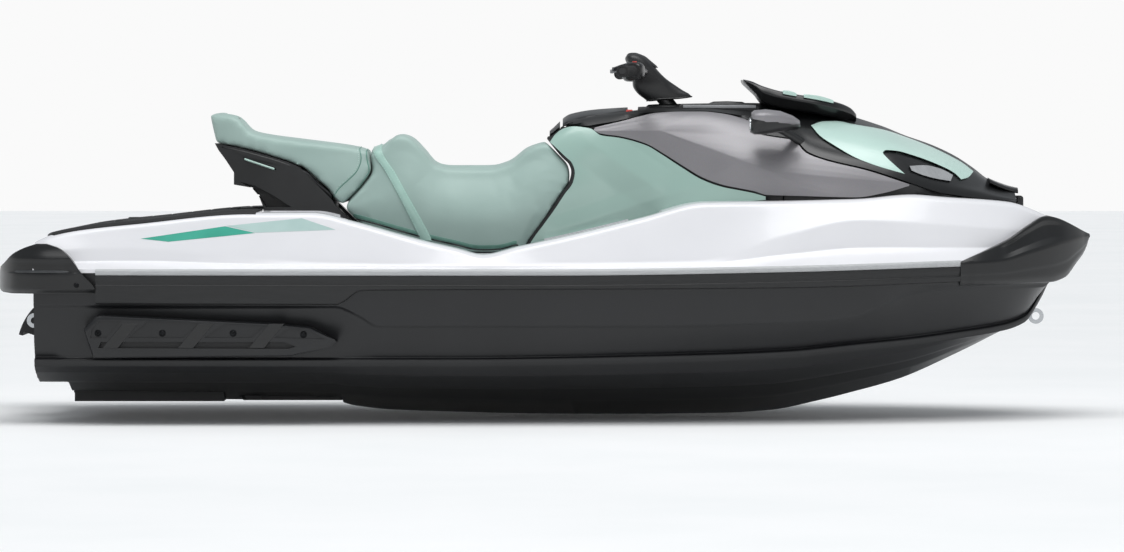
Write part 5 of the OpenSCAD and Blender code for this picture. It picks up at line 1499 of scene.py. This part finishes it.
# ---- Steering shroud ----
# The padded moulding that sweeps up from the dash to the bars, in two halves that meet at a
# parting line, with a raised pad over the clamp.
def shroud_loop(h, aft, fore, half, square=0.55):
    loop = []
    for k in range(32):
        a = 2 * math.pi * k / 32
        u, v = (math.copysign(abs(f(a)) ** square, f(a)) for f in (math.cos, math.sin))
        narrow = 1 - 0.22 * max(0, u)
        loop.append(at((aft + fore) / 2 + u * (fore - aft) / 2, v * half * narrow,
                       h + 0.10 * u * (fore - aft) / 2 * fade(h, 1040, 960)))
    return loop


def shroud_part(stations):
    h_of = [fair([(i, s[k]) for i, s in enumerate(stations)]) for k in range(4)]
    count = (len(stations) - 1) * 4
    return capped([shroud_loop(*[f(i / 4) for f in h_of]) for i in range(count + 1)])


neck = shroud_part([(968, 304, 424, 36), (971, 296, 432, 41), (979, 284, 426, 43), (992, 266, 406, 45),
                    (1012, 252, 380, 48), (1034, 250, 352, 58), (1056, 246, 330, 70), (1078, 234, 312, 76),
                    (1094, 228, 296, 74), (1106, 236, 276, 62), (1109, 246, 266, 40)])
cap_pad = shroud_part([(1066, 262, 330, 50), (1072, 250, 325, 62), (1088, 240, 306, 64), (1101, 232, 290, 58),
                       (1110, 238, 268, 48), (1112, 246, 262, 30)])
piece("steering_shroud", neck, moulded_nylon, "steering", ["bar_cover"], smooth=50)
piece("steering_shroud_pad", cap_pad, elastomer, "steering", smooth=50)
lip = [at((296 + 432) / 2 + 69 * math.copysign(abs(math.cos(a)) ** 0.55, math.cos(a)),
          42 * (1 - 0.22 * max(0, math.cos(a))) * math.copysign(abs(math.sin(a)) ** 0.55, math.sin(a)),
          971 + 6.5 * math.cos(a))
       for a in [2 * math.pi * k / 64 for k in range(65)]]
piece("steering_shroud_lip", tube(lip, 2.5, 8), moulded_abs, "steering", smooth=60)
boot = [(-4, 70), (4, 70), (9, 66), (13, 58), (19, 56), (23, 48), (24, 27), (-4, 27), (-4, 70)]
boot_rows = []
for out_of_foot, radius in boot[:-1]:
    loop = []
    for k in range(32):
        a = 2 * math.pi * k / 32
        x = 366 + radius * 1.12 * math.cos(a) - out_of_foot * 0.5
        loop.append(at(x, 0.62 * radius * math.sin(a), 931 + out_of_foot + 0.02 * (x - 366)))
    boot_rows.append(loop)
verts, faces = grid(boot_rows + boot_rows[:1], loop=True)
piece("column_foot_boot", (verts, faces), elastomer, "craft", smooth=60)

# ---- Jet drive ----
# The cast pump, its stator and nozzles, the stainless impeller and shaft, the bucket behind
# and the plate and grate below. They keep their exact drawn shapes and get their metals here.
def finished(finish, slot, *names):
    """Gives drawn parts their real material."""
    for name in names:
        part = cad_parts[name]
        part.data.materials.clear()
        part.data.materials.append(finish)


# Cast aluminium, painted grey: sand-cast skin with a faint pebble and dull patches.
cast_alloy, tree, where = material("cast_aluminium_grey", Metallic=0.7)
cloud = add(tree, "ShaderNodeTexNoise", {"Vector": where, "Scale": 14.0, "Detail": 4.0})
pebble = add(tree, "ShaderNodeTexNoise", {"Vector": where, "Scale": 320.0, "Detail": 2.0})
feed(tree, Base_Color=add(tree, "ShaderNodeValToRGB", {"Fac": cloud},
                          stops=((0.3, "#707276"), (0.7, "#85888B"))),
     Roughness=add(tree, "ShaderNodeMapRange", {"Value": cloud, "To Min": 0.42, "To Max": 0.6}),
     Normal=add(tree, "ShaderNodeBump", {"Height": pebble, "Strength": 0.3, "Distance": 0.0007}))
finished(cast_alloy, "cast_grey", "pump_housing", "venturi", "nozzle", "pump_stator")
# Stainless steel: bright, brushed along the boat.
stainless, tree, where = material("stainless_steel_brushed", Metallic=1.0)
stretched = add(tree, "ShaderNodeMapping", {"Vector": where, "Scale": (6.0, 220.0, 220.0)})
mottled(tree, stretched, "#A9ACAF", "#C3C6C9", 3.0, 3.0, (0.16, 0.32))
finished(stainless, "stainless", "drive_shaft", "bow_eye", "stern_eyes", "tow_eye")
# Composite, glass filled: charcoal with short pale fibres showing at its skin.
composite, tree, where = material("glass_filled_composite_black", IOR=1.5)
fibre = add(tree, "ShaderNodeTexVoronoi", {"Vector": where, "Scale": 260.0})
mottled(tree, where, "#111214", "#1A1B1D", 10.0, 3.0, (0.42, 0.58))
feed(tree, Normal=add(tree, "ShaderNodeBump",
                {"Height": fibre.outputs["Distance"], "Strength": 0.15, "Distance": 0.0005}))
finished(composite, "moulded_black", "reverse_bucket", "ride_plate", "intake_grate", "drain_plugs")
# Engine enamel: dark grey sprayed over rough castings.
enamel, tree, where = material("engine_enamel_grey", Metallic=0.2)
cloud = mottled(tree, where, "#4B4D50", "#5B5E61", 9.0, 4.0, (0.4, 0.65))
feed(tree, Normal=add(tree, "ShaderNodeBump", {"Height": cloud, "Strength": 0.2, "Distance": 0.001}))
finished(enamel, "engine_grey", "engine")

# ---- Impeller ----
# Four swept stainless blades of helical pitch on a tapered hub.
PUMP_H = 192
imp_low, imp_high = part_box("impeller")
TIP = 1000 * (imp_high[1] - imp_low[1]) / 2 - 0.3
hub = turned([(-1199.5, 15.2), (-1199.5, 29), (-1197, 30), (-1063, 20.5), (-1060.5, 19), (-1060.5, 15.2)],
             at(0, 0, PUMP_H), (1, 0, 0), 48)
blades = []
for k in range(4):
    sides = []
    for offset in (-1, 1):
        rows = []
        for r in (16, 24, 40, 56, 70, TIP):
            thick = 3.2 - 1.6 * r / TIP
            row = []
            for i in range(17):
                t = i / 16
                turn = math.pi / 2 * k + 1.75 * t + offset * thick / r * math.sin(math.pi * (0.06 + 0.88 * t))
                row.append(at(-1185 + 110 * t + (6 * (1 - r / TIP) if t > 0.5 else 0), r * math.cos(turn),
                              PUMP_H + r * math.sin(turn)))
            rows.append(row)
        sides.append(rows)
    loops = [front + list(reversed(back)) for front, back in zip(*sides)]
    blades.append(capped(loops))
piece("impeller_blades", joined(hub, *blades), stainless, "rotor", ["impeller"], smooth=50)

# ---- Sponsons ----
# A black fin bolted low on each side of the stern, with a long groove, three slanted ribs
# at its middle and four bolts.
FIN_OUT = HALF_BEAM - 19
fin_outline = [(-1386, 283), (-1350, 322), (-1334, 326), (-1096, 314), (-835, 302), (-711, 290), (-634, 246),
               (-650, 228), (-773, 203), (-1358, 197)]
mid_x, mid_h = -1020, 258


def fin_loop(y, inset):
    """The fin's outline at y, drawn in towards its middle line by inset mm."""
    loop = []
    for x, h in fin_outline:
        loop.append(at(x + inset * (1 if x < mid_x else -1), y, h + inset * (1 if h < mid_h else -1)))
    return loop


fin = piece("sponson_fins", capped([fin_loop(470, 0), fin_loop(FIN_OUT - 9, 0), fin_loop(FIN_OUT - 2, 4),
                                    fin_loop(FIN_OUT, 8)]), hull_plastic, "craft",
            ["sponsons"], bevel=1.6, smooth=25)
groove = capped([[at(x, y, h) for x, h in ((-1342, 228), (-1334, 246), (-790, 246), (-756, 232), (-776, 226))]
                 for y in (FIN_OUT - 26, FIN_OUT + 5)])
recesses = [capped([[at(x, y, h) for x, h in outline] for y in (FIN_OUT - 5, FIN_OUT + 5)]) for outline in (
    ((-1362, 282), (-1340, 308), (-1274, 308), (-1318, 258), (-1366, 258)),
    ((-1254, 258), (-1194, 308), (-1040, 302), (-1090, 258)),
    ((-1028, 258), (-968, 300), (-846, 294), (-888, 258)),
    ((-820, 258), (-776, 286), (-716, 280), (-668, 254)))]
cut(fin, groove, *recesses)
far_fin = piece("sponson_fins_port", ([], []), hull_plastic, "craft")
far_fin.data = fin.data.copy()
for v in far_fin.data.vertices:
    v.co.y = -v.co.y
far_fin.data.flip_normals()
ribs, bolts = [], []
for x in (-1330, -1106, -896):
    ribs.append(capped([[at(x + dx, y, h) for dx, h in ((0, 228), (46, 228), (106, 300), (60, 300))]
                        for y in (FIN_OUT - 24, FIN_OUT + 1.6)]))
rib = joined(*ribs)
piece("sponson_ribs", joined(rib, mirrored(rib)), moulded_abs, "craft", bevel=0.8)


def bolt_at(x, y, h, aim, size=9):
    """A pan-head bolt with a washer and a hexagon socket, its head facing aim."""
    head = [(-3, 0.4), (-3, size + 3), (-0.6, size + 3), (0, size + 2.2), (0.4, size), (2.4, size - 1),
            (3.6, size - 3), (3.6, size * 0.42), (0.8, size * 0.4), (0.8, 0.4)]
    return turned(head, at(x, y, h), aim, 24)


for x in (-1343, -1152, -942, -733):
    bolts.append(bolt_at(x, FIN_OUT - 4.6, 272 if x < -800 else 268, (0, 1, 0), 8))
bolts.append(bolt_at(-1408, rail_y(-1500) - 220 + corner_out(-1408) - 0.6, 414, (0, 1, 0), 8))
bolts.append(bolt_at(1272, rail_y(1272) - 3, 447, (0.4, 1, 0), 7))
bolt = joined(*bolts)
# Black oxide steel: dull blue-black, a little worn on the rims.
black_oxide, tree, where = material("black_oxide_steel", Metallic=0.85)
wear = add(tree, "ShaderNodeTexNoise", {"Vector": where, "Scale": 120.0, "Detail": 3.0})
feed(tree, Base_Color=add(tree, "ShaderNodeValToRGB", {"Fac": wear},
                          stops=((0.3, "#0E0F10"), (0.75, "#2A2B2D"))),
     Roughness=add(tree, "ShaderNodeMapRange", {"Value": wear, "To Min": 0.3, "To Max": 0.5}))
piece("black_bolts", joined(bolt, mirrored(bolt)), black_oxide, "craft", smooth=40)
